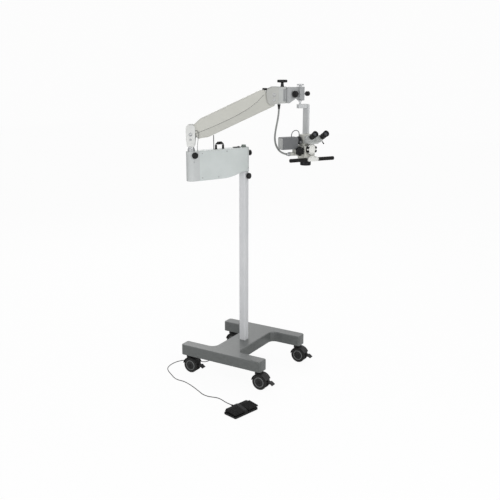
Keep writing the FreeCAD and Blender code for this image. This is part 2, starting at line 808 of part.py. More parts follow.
def post_tube():
    return turned([
        (0, SWING_TOP - 90), (POST_RADIUS, SWING_TOP - 90), (POST_RADIUS, SWING_TOP + REST_GAP),
        (POST_COLLAR_RADIUS, SWING_TOP + REST_GAP), (POST_COLLAR_RADIUS, SWING_TOP + 16),
        (POST_RADIUS + 2, SWING_TOP + 18), (POST_RADIUS, YOKE_BOTTOM), (0, YOKE_BOTTOM),
    ])


def yoke_cheeks():
    """Inner and outer faces of the near cheek; the far one mirrors it."""
    inner = ARM_WIDTH / 2 + 1.0
    return inner, inner + YOKE_CHEEK


def arm_yoke():
    """Fork of two rounded cheeks on a floor plate, open to the front for the arm."""
    inner, outer = yoke_cheeks()
    half = YOKE_WIDTH / 2
    side = [
        (-half + 6, YOKE_BOTTOM, 4), (half - 6, YOKE_BOTTOM, 4), (half, PIVOT_Z - 30, 12),
        (half, YOKE_TOP, 20), (-half, YOKE_TOP, 20), (-half, PIVOT_Z - 30, 12),
    ]
    cheeks = []
    for hand in (-1, 1):
        low, high = sorted((hand * inner, hand * outer))
        cheek = prism(side, low, high, "XZ")
        cheeks.append(soften(cheek, 3, across_at("y", hand * outer)))
    floor = block((-half + 6, half - 6), (-outer + 1, outer - 1), (YOKE_BOTTOM, YOKE_BOTTOM + YOKE_FLOOR), 4)
    yoke = fuse(floor, *cheeks)
    holes = [
        rod(PIVOT_RADIUS, (0, -outer - 1, PIVOT_Z), (0, 1, 0), 2 * outer + 2),
        rod(ROD_PIVOT_RADIUS, (0, -outer - 1, PIVOT_Z - ROD_OFFSET), (0, 1, 0), 2 * outer + 2),
    ]
    return yoke.cut(holes)


def pivot_pins(half_width, cross):
    """Main pivot pin and the rod's pin, with flat heads outside the cheeks."""
    pins = []
    for radius, z in ((PIVOT_RADIUS, 0), (ROD_PIVOT_RADIUS, cross)):
        shaft = rod(radius, (0, -half_width, z), (0, 1, 0), 2 * half_width)
        heads = []
        for side in (-1, 1):
            head = turned([(0, 0), (radius + 3, 0), (radius + 3, 1.5), (radius + 1.5, 3), (0, 3)])
            heads.append(aimed(head, (0, side * half_width, z), (0, side, 0)))
        pins.append(fuse(shaft, *heads))
    return group(*pins)


def rear_pivot_pins():
    pins = pivot_pins(yoke_cheeks()[1], -ROD_OFFSET)
    pins.translate(V(0, 0, PIVOT_Z))
    return pins


# Spring arm, drawn level

def arm_beam():
    """Rectangular tube with a round eye at each pivot."""
    half = BEAM_TUBE_HEIGHT / 2
    outline = [(-half, -half, half - 0.01), (ARM_LENGTH + half, -half, half - 0.01),
               (ARM_LENGTH + half, half, half - 0.01), (-half, half, half - 0.01)]
    beam = prism(outline, -BEAM_TUBE_WIDTH / 2, BEAM_TUBE_WIDTH / 2, "XZ")
    inner_y = BEAM_TUBE_WIDTH / 2 - BEAM_TUBE_WALL
    inner_z = half - BEAM_TUBE_WALL
    hollow = block((24, ARM_LENGTH - 24), (-inner_y, inner_y), (-inner_z, inner_z))
    width = BEAM_TUBE_WIDTH + 2
    holes = [hollow]
    for x in (0, ARM_LENGTH):
        holes.append(rod(PIVOT_RADIUS + RUNNING_GAP, (x, -width / 2, 0), (0, 1, 0), width))
    beam = beam.cut(holes)
    sleeves = []
    for x in (0, ARM_LENGTH):
        for side in (-1, 1):
            start = side * BEAM_TUBE_WIDTH / 2
            length = ARM_WIDTH / 2 - BEAM_TUBE_WIDTH / 2 + 1 - REST_GAP
            washer = rod(PIVOT_RADIUS + 5, (x, start, 0), (0, side, 0), length)
            hole = rod(PIVOT_RADIUS + RUNNING_GAP, (x, start - side, 0), (0, side, 0), length + 2)
            sleeves.append(washer.cut(hole))
    return fuse(beam, *sleeves)


CASING_REAR = 24.0
CASING_FRONT = 27.0
SPLIT_LINE = [
    (0.0, -6.0), (110.0, -14.0), (ARM_LENGTH - 248, -16.0), (ARM_LENGTH - 118, -2.0), (ARM_LENGTH - 54, 28.0),
]


def casing_side(inset):
    """Side view of the whole cover of the arm."""
    deep = ARM_DEPTH / 2 - inset
    rear = CASING_REAR
    front = ARM_LENGTH - CASING_FRONT - inset
    return [
        (rear, -44 + inset, 10),
        (rear + 18, -45 + inset, 8),
        (rear + 66, -deep, 20),
        (front + 8, -deep, 8),
        (front - 2, 0, 10),
        (front - 12, deep - 8, 16),
        (front - 40, deep, 12),
        (rear + 66, deep, 20),
        (rear + 6, 40 - inset, 18),
    ]


def upper_zone(gap):
    """Region above the curved line where the two halves of the cover meet."""
    points = [V(x, z + gap, 0) for x, z in SPLIT_LINE]
    curve = Part.BSplineCurve()
    curve.interpolate(points)
    high = ARM_DEPTH
    rear = V(-20, SPLIT_LINE[0][1] + gap, 0)
    top_rear = V(-20, high, 0)
    top_front = V(SPLIT_LINE[-1][0] + 10 - gap, high, 0)
    last = points[-1]
    wire = Part.Wire([
        Part.LineSegment(rear, points[0]).toShape(), curve.toShape(),
        Part.LineSegment(last, top_front).toShape(), Part.LineSegment(top_front, top_rear).toShape(),
        Part.LineSegment(top_rear, rear).toShape(),
    ])
    solid = Part.Face(wire).extrude(V(0, 0, ARM_WIDTH * 2))
    solid.translate(V(0, 0, -ARM_WIDTH))
    solid.rotate(V(0, 0, 0), V(1, 0, 0), 90)
    return solid


def casing_shell():
    half = ARM_WIDTH / 2
    outer = soften(prism(casing_side(0), -half, half, "XZ"), ARM_EDGE, across_at("y", -half, half))
    inner = soften(prism(casing_side(ARM_SKIN), -half + ARM_SKIN, half - ARM_SKIN, "XZ"), ARM_EDGE - ARM_SKIN,
                   across_at("y", -half + ARM_SKIN, half - ARM_SKIN))
    rear_open = block((CASING_REAR - 5, CASING_REAR + 20), (-half + ARM_SKIN, half - ARM_SKIN), (-42, 38))
    front_open = block((ARM_LENGTH - CASING_FRONT - 22, ARM_LENGTH), (-half + ARM_SKIN, half - ARM_SKIN),
                       (-46, 34))
    return outer.cut([inner, rear_open, front_open])


def arm_casing():
    return casing_shell().cut(upper_zone(0))


def arm_cover():
    return casing_shell().common(upper_zone(REST_GAP))


def balance_spring():
    """Closed coil of the balance spring round its guide rod, seated on the beam."""
    start, end = 120.0, 380.0
    z = BEAM_TUBE_HEIGHT / 2 + SPRING_RADIUS + SPRING_WIRE
    guide = rod(4, (start - 24, 0, z), (1, 0, 0), end - start + 48)
    ends = []
    for x in (start - 30, end + 22):
        ends.append(block((x, x + 8), (-9, 9), (BEAM_TUBE_HEIGHT / 2, z + 10), 2))
    turns = int((end - start) / 13)
    coils = []
    for index in range(turns):
        ring = Part.makeTorus(SPRING_RADIUS, SPRING_WIRE, V(start + 13 * (index + 0.5), 0, z), V(1, 0, 0))
        coils.append(ring)
    plates = [rod(SPRING_RADIUS + 2, (x, 0, z), (1, 0, 0), 3) for x in (start - 3, end)]
    return group(fuse(guide, *ends, *plates), *coils)


def parallel_rod():
    """Rod that keeps the head level, with an eye at either end."""
    eye = ROD_EYE_RADIUS
    solids = [rod(ROD_RADIUS, (0, 0, 0), (1, 0, 0), ARM_LENGTH)]
    for x in (0, ARM_LENGTH):
        solids.append(rod(eye, (x, -6, 0), (0, 1, 0), 12))
    body = fuse(*solids)
    return body.cut([rod(ROD_PIVOT_RADIUS + RUNNING_GAP, (x, -8, 0), (0, 1, 0), 16) for x in (0, ARM_LENGTH)])


def placed_rod():
    """The rod lies under the beam, parallel to it, between its own pivots."""
    shape = parallel_rod()
    c, s = turn(-ARM_PITCH)
    return on_arm(seated_offset(shape, (ROD_OFFSET * s, 0, -ROD_OFFSET * c)))


def seated_offset(shape, offset):
    copy = shape.copy()
    copy.translate(V(*offset))
    return copy


# Arm head and carrier, drawn from the front pivot

def head_plan(low, high):
    """Plan of the head: wide at the cheeks, narrowing to the round lugs of the swivel."""
    outer = yoke_cheeks()[1]
    shoulder = 24.0
    back = SWIVEL_OFFSET - shoulder
    touch = 180 - math.degrees(math.atan2(outer, back)) - math.degrees(math.acos(LUG_RADIUS / math.hypot(outer, back)))
    c, s = turn(touch)
    tangent = (SWIVEL_OFFSET + LUG_RADIUS * c, LUG_RADIUS * s)
    cheeks = prism([
        (HEAD_REAR, -outer, 3), (shoulder, -outer, 8), (tangent[0], -tangent[1], 0),
        (tangent[0], tangent[1], 0), (shoulder, outer, 8), (HEAD_REAR, outer, 3),
    ], low, high)
    return fuse(cheeks, rod(LUG_RADIUS, (SWIVEL_OFFSET, 0, low), (0, 0, 1), high - low))


def arm_head():
    """Fork for the arm behind, fork for the carrier's eye in front."""
    body = head_plan(HEAD_BOTTOM, HEAD_TOP)
    body = soften(body, 3, level_at(HEAD_TOP))
    inner = yoke_cheeks()[0]
    far = SWIVEL_OFFSET + LUG_RADIUS + 5
    eye_low = HEAD_BOTTOM + LUG_THICK
    eye_high = HEAD_TOP - LUG_THICK
    holes = [
        block((HEAD_REAR - 5, 18), (-inner, inner), (HEAD_BOTTOM - 5, HEAD_TOP + 5)),
        rod(EYE_RADIUS + 0.5, (SWIVEL_OFFSET, 0, eye_low), (0, 0, 1), eye_high - eye_low),
        block((SWIVEL_OFFSET + FORK_MOUTH, far), (-60, 60), (eye_low, eye_high)),
        rod(PIVOT_RADIUS, (0, -60, 0), (0, 1, 0), 120),
        rod(ROD_PIVOT_RADIUS, (0, -60, -ROD_OFFSET), (0, 1, 0), 120),
        rod(SWIVEL_PIN_RADIUS + RUNNING_GAP, (SWIVEL_OFFSET, 0, HEAD_BOTTOM - 5), (0, 0, 1), 120),
    ]
    gland = rod(8, (GUIDE_EXIT, 0, HEAD_BOTTOM - 8), (0, 0, 1), 10)
    return fuse(body, gland).cut(holes)


GUIDE_EXIT = SWIVEL_OFFSET - 18.0


def front_pivot_pins():
    return pivot_pins(yoke_cheeks()[1], -ROD_OFFSET)


def carrier_arm():
    """Eye and pin in the head, a deep web and the swivel block that holds the hanging pin."""
    eye_low = HEAD_BOTTOM + LUG_THICK + REST_GAP
    eye_high = HEAD_TOP - LUG_THICK - REST_GAP
    start = SWIVEL_OFFSET
    end = SWIVEL_OFFSET + CARRIER_REACH
    eye = rod(EYE_RADIUS, (start, 0, eye_low), (0, 0, 1), eye_high - eye_low)
    pin = rod(SWIVEL_PIN_RADIUS, (start, 0, HEAD_BOTTOM), (0, 0, 1), HEAD_TOP - HEAD_BOTTOM)
    neck = block((start, start + LUG_RADIUS + 4), (-NECK_HALF, NECK_HALF), (eye_low, eye_high))
    web = prism([
        (start + LUG_RADIUS + 1, HEAD_BOTTOM, 4), (start + LUG_RADIUS + 16, HEAD_BOTTOM, 10),
        (end - 24, BLOCK_BOTTOM + 12, 14), (end, BLOCK_BOTTOM + 12, 0), (end, HEAD_TOP - 2, 0),
        (start + LUG_RADIUS + 1, HEAD_TOP - 2, 4),
    ], -WEB_HALF, WEB_HALF, "XZ")
    taper = prism([
        (start + LUG_RADIUS, -WEB_HALF, 0), (start + LUG_RADIUS + 16, -WEB_HALF, 12),
        (end - 42, -WEB_HALF_AT_BLOCK, 12), (end + 1, -WEB_HALF_AT_BLOCK, 0),
        (end + 1, WEB_HALF_AT_BLOCK, 0), (end - 42, WEB_HALF_AT_BLOCK, 12),
        (start + LUG_RADIUS + 16, WEB_HALF, 12), (start + LUG_RADIUS, WEB_HALF, 0),
    ], HEAD_BOTTOM - 1, HEAD_TOP + 1)
    web = soften(web.common(taper), 2, across_at("z", HEAD_TOP - 2))
    half = BLOCK_SIZE / 2
    side = [
        (-half, BLOCK_TOP, 3), (half, BLOCK_TOP, 3), (half, BLOCK_BOTTOM, 3),
        (-half + 14, BLOCK_BOTTOM, 3), (-half, BLOCK_BOTTOM + 14, 3),
    ]
    square = soften(prism(side, -half, half, "XZ"), 2.5, across_at("y", -half, half))
    square = seated(square, BLOCK_HEADING, (end, 0, 0))
    carrier = fuse(eye, pin, neck, web, square)
    c, s = turn(BLOCK_HEADING)
    cut = half - HANGING_PIN_RADIUS - 2
    holes = [rod(HANGING_PIN_RADIUS + RUNNING_GAP, (end, 0, BLOCK_BOTTOM - 5), (0, 0, 1), 120)]
    for side in (-1, 1):
        at = (end + side * half * c, side * half * s, BLOCK_KNOB_Z)
        holes.append(shaft_hole(at, (side * c, side * s, 0), depth=cut))
    holes.append(rod(KNOB_SHAFT_RADIUS + RUNNING_GAP, (start, 0, HEAD_TOP - 12), (0, 0, 1), 20))
    return carrier.cut(holes)


BLOCK_KNOB_Z = 4.0


def t_knob():
    """T-shaped brake knob on the swivel: slim stem, wide disc."""
    body = turned([
        (0, -10), (KNOB_SHAFT_RADIUS, -10), (KNOB_SHAFT_RADIUS, REST_GAP), (11, REST_GAP), (9, 12),
        (8, 22), (12, 24), (TEE_KNOB_RADIUS - 2, 25), (TEE_KNOB_RADIUS, 27), (TEE_KNOB_RADIUS, 37),
        (TEE_KNOB_RADIUS - 3, 40), (0, 40),
    ])
    return aimed(body, (SWIVEL_OFFSET, 0, HEAD_TOP), (0, 0, 1))


def block_knob(side):
    """Clamp knob on one side of the swivel block, on a long stem: wide on the left, small on the right."""
    c, s = turn(BLOCK_HEADING)
    half = BLOCK_SIZE / 2
    cut = half - HANGING_PIN_RADIUS - 2
    radius, thick, stem = (LEFT_KNOB if side < 0 else RIGHT_KNOB)
    body = turned([
        (0, -cut), (KNOB_SHAFT_RADIUS, -cut), (KNOB_SHAFT_RADIUS, stem - 3), (7, stem),
        (radius - 2, stem), (radius, stem + 2), (radius, stem + thick - 3), (radius - 3, stem + thick),
        (0, stem + thick),
    ])
    at = (SWIVEL_OFFSET + CARRIER_REACH + side * half * c, side * half * s, BLOCK_KNOB_Z)
    return aimed(body, at, (side * c, side * s, 0))


# Bracket and microscope, drawn in the microscope's frame

def hanging_pin():
    """Pin with its flat cap on the swivel block and a collar under it."""
    block_top = front_pivot()[2] + BLOCK_TOP
    block_bottom = front_pivot()[2] + BLOCK_BOTTOM
    body = turned([
        (0, BRACKET_TOP), (HANGING_PIN_RADIUS, BRACKET_TOP), (HANGING_PIN_RADIUS, block_bottom - 6),
        (HANGING_PIN_RADIUS + 4, block_bottom - 6), (HANGING_PIN_RADIUS + 4, block_bottom - REST_GAP),
        (HANGING_PIN_RADIUS, block_bottom - REST_GAP), (HANGING_PIN_RADIUS, block_top + REST_GAP),
        (HANGING_PIN_RADIUS + 2, block_top + REST_GAP), (HANGING_PIN_RADIUS + 2, block_top + 8),
        (20, block_top + 8), (21, block_top + 10), (21, block_top + 14), (19, block_top + 16),
        (0, block_top + 16),
    ])
    body.translate(V(0, PIN_BEHIND_AXIS, 0))
    return body


def scope_bracket():
    """Top bar under the hanging pin and the long side plate that carries the tilt pivot."""
    side = BRACKET_SIDE
    half = BRACKET_DEPTH / 2
    low = BRACKET_TOP - BRACKET_BAR
    top_bar = block((-16, side), (PIN_BEHIND_AXIS - 16, PIN_BEHIND_AXIS + 16), (low, BRACKET_TOP), 6)
    top_bar = soften(top_bar, 2, across_at("z", low, BRACKET_TOP))
    plate = prism([
        (PIN_BEHIND_AXIS - half, BRACKET_TOP, 10), (PIN_BEHIND_AXIS + half, BRACKET_TOP, 10),
        (PIN_BEHIND_AXIS + half, 1545, 30), (TILT_Y + 24, TILT_Z - 20, 18), (TILT_Y - 20, TILT_Z - 20, 18),
        (TILT_Y - 20, TILT_Z + 24, 18), (PIN_BEHIND_AXIS - half, 1580, 30),
    ], side - BRACKET_THICK / 2, side + BRACKET_THICK / 2, "YZ")
    plate = soften(plate, 2.5, across_at("x", side + BRACKET_THICK / 2))
    bracket = fuse(top_bar, plate)
    hole = rod(TILT_RADIUS + RUNNING_GAP, (side - 10, TILT_Y, TILT_Z), (1, 0, 0), 20)
    return bracket.cut(hole)


STAR_X = -BODY_WIDTH / 2 - 29.0
STAR_Y = -30.0
STAR_Z = 1497.0
LUG_TOP = 1505.0


def star_knob():
    """Lobed knob on the front of the light housing's lug."""
    head = lobed(STAR_KNOB_RADIUS, 6, 13, 9)
    head.translate(V(0, 0, 5))
    hub = turned([
        (0, -12), (KNOB_SHAFT_RADIUS, -12), (KNOB_SHAFT_RADIUS, REST_GAP), (10, REST_GAP), (13, 6),
        (13, 19), (11, 21), (0, 21),
    ])
    return aimed(fuse(head, hub), (STAR_X, STAR_Y, STAR_Z), (0, -1, 0))


def optics_body():
    """Main housing with the lug for the star knob, the light port and the tilt stub."""
    half = BODY_WIDTH / 2
    body = block((-half, half), (BODY_FRONT, BODY_REAR), (BODY_BOTTOM, BODY_TOP), 12)
    body = soften(body, 4, across_at("z", BODY_BOTTOM, BODY_TOP))
    lug = block((STAR_X - 14, -half + 6), (STAR_Y, BODY_REAR - 12), (PORT_Z - 6, LUG_TOP), 6)
    port = aimed(turned([
        (0, 0), (PORT_RADIUS + 5, 0), (PORT_RADIUS + 5, 20), (PORT_RADIUS, 24),
        (PORT_RADIUS, -half - PORT_MOUTH), (GUIDE_RADIUS + 2, -half - PORT_MOUTH),
        (GUIDE_RADIUS + 2, -half - PORT_MOUTH - PORT_BORE), (0, -half - PORT_MOUTH - PORT_BORE),
    ]), (-half, 0, PORT_Z), (-1, 0, 0))
    stub_start = BRACKET_SIDE - BRACKET_THICK / 2
    stub = turned([
        (0, 0), (15, 0), (15, stub_start - half - REST_GAP), (TILT_RADIUS, stub_start - half - REST_GAP),
        (TILT_RADIUS, stub_start - half + BRACKET_THICK + REST_GAP),
        (13, stub_start - half + BRACKET_THICK + REST_GAP),
        (13, stub_start - half + BRACKET_THICK + 5), (0, stub_start - half + BRACKET_THICK + 5),
    ])
    stub = aimed(stub, (half, TILT_Y, TILT_Z), (1, 0, 0))
    whole = fuse(body, lug, port, stub)
    holes = [
        shaft_hole((STAR_X, STAR_Y, STAR_Z), (0, -1, 0), depth=12),
        shaft_hole((0, BODY_FRONT, DRUM_Z), (0, -1, 0), radius=6, depth=10),
        rod(LENS_RADIUS, (0, 0, BODY_BOTTOM - 1), (0, 0, 1), 9),
    ]
    return whole.cut(holes)


def mag_drum():
    """Front drum that turns the magnification changer, with four grip pads on its rim."""
    rim = DRUM_RADIUS
    disc = turned([
        (0, -10), (6, -10), (6, REST_GAP), (rim - 2, REST_GAP), (rim, 2), (rim, DRUM_THICK - 3),
        (rim - 3, DRUM_THICK), (rim - 10, DRUM_THICK), (rim - 12, DRUM_THICK - 1.5), (0, DRUM_THICK - 1.5),
    ])
    pads = []
    for angle in (22, 158, 202, 338):
        pad = block((rim - 9, rim + 0.8), (-6.5, 6.5), (4, DRUM_THICK + 1), 2.5)
        pad.rotate(V(0, 0, 0), UP, angle)
        pads.append(pad)
    return aimed(fuse(disc, *pads), (0, BODY_FRONT, DRUM_Z), (0, -1, 0))


def objective_ring():
    """Knurled focusing ring that hangs under the housing."""
    low, high = OBJECTIVE_BOTTOM, BODY_BOTTOM - REST_GAP
    ring = turned([
        (LENS_RADIUS + RUNNING_GAP, low), (OBJECTIVE_RADIUS - 2, low), (OBJECTIVE_RADIUS, low + 2),
        (OBJECTIVE_RADIUS, high - 9), (OBJECTIVE_RADIUS - 4, high - 7), (OBJECTIVE_RADIUS - 4, high),
        (LENS_RADIUS + RUNNING_GAP, high),
    ])
    return ring


def objective_lens():
    """Lens cell seated in the housing, with the convex glass facing down."""
    sphere = 90.0
    low = OBJECTIVE_BOTTOM + 6
    dome = Part.makeSphere(sphere, V(0, 0, low + sphere))
    barrel = Part.makeCylinder(LENS_RADIUS - RUNNING_GAP, BODY_BOTTOM + 7 - low, V(0, 0, low))
    return barrel.common(dome)


def beam_splitter():
    half = SPLITTER_WIDTH / 2
    body = block((-half, half), (-32, 30), (BODY_TOP, SPLITTER_TOP), 6)
    body = soften(body, 4, level_at(SPLITTER_TOP))
    return body


CAMERA_Y = 8.0
CAMERA_TOP = 1577.0
ADAPTER_Z = 1556.0


def camera_module():
    """Side adapter, camera body, the clamp screw and the lead looped between them."""
    start = -SPLITTER_WIDTH / 2
    adapter = aimed(turned([
        (0, 0), (17, 0), (17, 8), (22, 9), (22, 26), (16, 28), (0, 28),
    ]), (start, CAMERA_Y - 8, ADAPTER_Z), (-1, 0, 0))
    rear = start - 28
    half = CAMERA_WIDTH / 2
    box = block((rear - CAMERA_LENGTH, rear), (CAMERA_Y - half, CAMERA_Y + half),
                (CAMERA_TOP - CAMERA_HEIGHT, CAMERA_TOP), 5)
    box = soften(box, 3, across_at("z", CAMERA_TOP - CAMERA_HEIGHT, CAMERA_TOP))
    screw = aimed(turned([(0, -6), (4, -6), (4, 4), (8, 5), (8, 11), (6, 13), (0, 13)]),
                  (start - 17, CAMERA_Y - 8 - 20, ADAPTER_Z - 8), (0, -1, 0))
    socket_z = ADAPTER_Z + 26
    socket = rod(3.8, (rear + 15, CAMERA_Y - 8, ADAPTER_Z + 15), (0, 0, 1), socket_z - ADAPTER_Z - 15)
    loop = tube_along("camera lead", [
        (rear - 32, CAMERA_Y, CAMERA_TOP), (rear - 32, CAMERA_Y, CAMERA_TOP + 14),
        (rear - 27, CAMERA_Y - 2, CAMERA_TOP + 29), (rear - 12, CAMERA_Y - 5, CAMERA_TOP + 39),
        (rear + 5, CAMERA_Y - 7, CAMERA_TOP + 37), (rear + 15, CAMERA_Y - 8, CAMERA_TOP + 25),
        (rear + 15, CAMERA_Y - 8, socket_z),
    ], LEAD_RADIUS)
    return group(fuse(adapter, box, screw, socket), loop)


def tube_frame(side, distance, across=0.0):
    """Point on a hinge axis of the binocular tubes, and the direction that the tubes look."""
    c, s = turn(TUBE_RISE)
    x = side * (HINGE_SPACING / 2 + across)
    return (x, EYE_Y - distance * c, EYE_Z + distance * s), (0, -c, s)


def along_tube(shape, side, distance, across=0.0):
    """Shape drawn with +z along the tube and +x to the surgeon's right, moved to its place."""
    at, _ = tube_frame(side, distance, across)
    copy = shape.copy()
    tip = FreeCAD.Rotation(V(1, 0, 0), 90 - TUBE_RISE)
    copy.Placement = FreeCAD.Placement(V(*at), tip).multiply(copy.Placement)
    return copy


PRISM_BACK = -68.0
PRISM_FRONT = -40.0
TUBE_BACK = -28.0
TUBE_OFFSET = (EYE_SPACING - HINGE_SPACING) / 2


def binocular_housing():
    """Wedge that turns the light up towards the tubes, with a dovetail flange behind."""
    (_, front_y, front_z), (_, ty, tz) = tube_frame(1, PRISM_BACK)
    lower = (front_y - tz * 26, front_z + ty * 26)
    upper = (front_y + tz * 24, front_z - ty * 24)
    side = [
        (-32, DRUM_Z + DRUM_RADIUS + 2, 0), (lower[0], DRUM_Z + DRUM_RADIUS + 2, 5),
        (upper[0], upper[1], 5), (-32, upper[1] + 1, 0),
    ]
    body = soften(prism(side, -33, 33, "YZ"), 4, across_at("x", -33, 33))
    hinge = []
    for hand in (-1, 1):
        hole = rod(6 + RUNNING_GAP, (0, 0, -9), (0, 0, 1), 10)
        hinge.append(along_tube(hole, hand, PRISM_BACK))
    return body.cut(hinge)


def tube(side):
    """Prism case that swings about its hinge, with the ocular tube on it."""
    inner_r, outer_r = 12.5, 18.5
    length = PRISM_FRONT - PRISM_BACK - REST_GAP
    first = Part.makeCylinder(inner_r, length)
    second = Part.makeCylinder(outer_r, length, V(side * TUBE_OFFSET, 0, 0))
    spread = math.acos((inner_r - outer_r) / TUBE_OFFSET)
    c, s = math.cos(spread), math.sin(spread)
    web = prism([
        (side * inner_r * c, inner_r * s, 0), (side * inner_r * c, -inner_r * s, 0),
        (side * (TUBE_OFFSET + outer_r * c), -outer_r * s, 0),
        (side * (TUBE_OFFSET + outer_r * c), outer_r * s, 0),
    ], 0, length)
    case = fuse(first, second, web)
    barrel = rod(12.5, (side * TUBE_OFFSET, 0, length - 1), (0, 0, 1), TUBE_BACK - PRISM_FRONT + 10)
    pivot = rod(6, (0, 0, -8), (0, 0, 1), 9)
    parts = [case, barrel, pivot]
    if side > 0:
        parts.append(rod(2.2, (TUBE_OFFSET + 8, -outer_r + 2, length * 0.6), (0.5, -1, 0), 16))
    return along_tube(fuse(*parts), side, PRISM_BACK + REST_GAP)


def eyepiece(side):
    """Eyepiece with its soft cup, turning on the ocular tube to set the focus."""
    half = EYEPIECE_LENGTH / 2
    bore_end = TUBE_BACK + 10.0
    body = turned([
        (12.5 + RUNNING_GAP, TUBE_BACK), (EYEPIECE_RADIUS - 2, TUBE_BACK), (EYEPIECE_RADIUS - 1, TUBE_BACK + 3),
        (EYEPIECE_RADIUS - 1, -6), (EYEPIECE_RADIUS, -4), (EYEPIECE_RADIUS, half - 8),
        (EYEPIECE_RADIUS + 1.5, half), (EYEPIECE_RADIUS - 2, half), (11, half - 7), (0, half - 7),
        (0, bore_end + REST_GAP), (12.5 + RUNNING_GAP, bore_end + REST_GAP),
    ])
    return along_tube(body, side, 0, TUBE_OFFSET)


def handlebar():
    """Bar through a mount under the drum, fixed to the front of the housing."""
    mount = block((-30, 38), (HANDLE_Y - 14, BODY_FRONT), (HANDLE_Z - 10, HANDLE_Z + 14), 6)
    mount = soften(mount, 3, across_at("z", HANDLE_Z - 10, HANDLE_Z + 14))
    stem = bar(HANDLE_RADIUS, (-HANDLE_REACH + 4, HANDLE_Y, HANDLE_Z), (HANDLE_REACH - 4, HANDLE_Y, HANDLE_Z))
    cap = turned([(0, 0), (14, 0), (15, 1.5), (15, 5), (13, 7), (0, 7)])
    cap.translate(V(0, HANDLE_Y + 2, HANDLE_Z + 14))
    return fuse(mount, stem, cap)


def grips():
    """Two ribbed rubber sleeves on the handlebar."""
    sleeves = []
    for inner, outer in ((GRIP_INNER[0], -HANDLE_REACH), (GRIP_INNER[1], HANDLE_REACH)):
        side = 1 if outer > 0 else -1
        length = abs(outer - inner)
        ribs = 6
        pitch = length / ribs
        outline = [(HANDLE_RADIUS + RUNNING_GAP, 0)]
        for index in range(ribs):
            start = pitch * index
            outline += [(GRIP_RADIUS - 1, start + 0.5), (GRIP_RADIUS, start + 2.5),
                        (GRIP_RADIUS, start + pitch - 2.5), (GRIP_RADIUS - 1, start + pitch - 0.5)]
        outline += [(HANDLE_RADIUS - 1, length), (0, length), (0, length - 3.7),
                    (HANDLE_RADIUS + RUNNING_GAP, length - 3.7)]
        sleeves.append(aimed(turned(outline), (inner, HANDLE_Y, HANDLE_Z), (side, 0, 0)))
    return group(*sleeves)


# Foot switch, drawn with +x along its length, centred

def on_floor(shape):
    return seated(shape, SWITCH_HEADING, (*SWITCH_CENTRE, 0))


PEDAL_HINGE_Y = 36.0
PEDAL_HINGE_Z = 22.0


def pedal_housing():
    """Low tray with the raised centre between the pedals and the cord's relief at the back."""
    half_l, half_w = SWITCH_LENGTH / 2, SWITCH_WIDTH / 2
    tray = soften(block((-half_l, half_l), (-half_w, half_w), (0, SWITCH_BASE), 8), 2, level_at(SWITCH_BASE))
    ridge = prism([
        (-half_w + 3, SWITCH_BASE - 2, 0), (half_w, SWITCH_BASE - 2, 0), (half_w, RIDGE_HEIGHT - 6, 5),
        (half_w - 26, RIDGE_HEIGHT, 12), (-half_w + 8, SWITCH_BASE + 12, 6),
    ], -RIDGE_WIDTH / 2, RIDGE_WIDTH / 2, "YZ")
    ridge = soften(ridge, 3, across_at("x", -RIDGE_WIDTH / 2, RIDGE_WIDTH / 2))
    pin = bar(PEDAL_HINGE_RADIUS, (-half_l + 4, PEDAL_HINGE_Y, PEDAL_HINGE_Z),
              (half_l - 4, PEDAL_HINGE_Y, PEDAL_HINGE_Z))
    lugs = []
    for x in (-half_l + 4, half_l - 10):
        lugs.append(block((x, x + 6), (PEDAL_HINGE_Y - 6, PEDAL_HINGE_Y + 6), (SWITCH_BASE - 2, PEDAL_HINGE_Z + 5)))
    relief = aimed(turned([
        (CORD_RADIUS, -5), (8, -5), (8, 0), (6.5, 2), (4.2, RELIEF_REACH), (CORD_RADIUS, RELIEF_REACH),
    ]), (0, half_w, RELIEF_Z), (0, 1, 0))
    housing = fuse(tray, ridge, pin, *lugs)
    recess = rod(8, (0, half_w - 5, RELIEF_Z), (0, 1, 0), 6)
    return fuse(housing.cut(recess), relief)


RELIEF_REACH = 22.0
RELIEF_Z = 14.0


def pedal(side):
    """Sloping tread plate hinged at the back, hollow underneath."""
    half_l, half_w = SWITCH_LENGTH / 2, SWITCH_WIDTH / 2
    near = RIDGE_WIDTH / 2 + PEDAL_GAP
    far = half_l - 11.5
    x = sorted((side * near, side * far))
    y, z, r = PEDAL_HINGE_Y, PEDAL_HINGE_Z, PEDAL_HINGE_RADIUS
    plate = prism([
        (y + 9, z - 4, 3), (y + 9, z + 10, 5), (y - 8, z + 13, 8), (-half_w + 1, SWITCH_BASE + 15, 5),
        (-half_w + 1, SWITCH_BASE + 7, 2), (y - 12, z + 4, 6), (y - 7, z - 4, 3),
    ], x[0], x[1], "YZ")
    wide = sorted((side * near, side * half_l))
    top = prism([
        (y - 10, z + 5, 0), (y - 10, z + 12.8, 3), (-half_w + 1, SWITCH_BASE + 15, 5),
        (-half_w + 1, SWITCH_BASE + 7, 2),
    ], wide[0], wide[1], "YZ")
    plate = fuse(plate, top)
    hole = rod(r + RUNNING_GAP, (x[0] - 1, y, z), (1, 0, 0), x[1] - x[0] + 2)
    return plate.cut(hole)


# Cords. Their points stay as chosen by hand; the first and last follow what they leave and enter.

def switch_point(x, y, z):
    c, s = turn(SWITCH_HEADING)
    return SWITCH_CENTRE[0] + x * c - y * s, SWITCH_CENTRE[1] + x * s + y * c, z


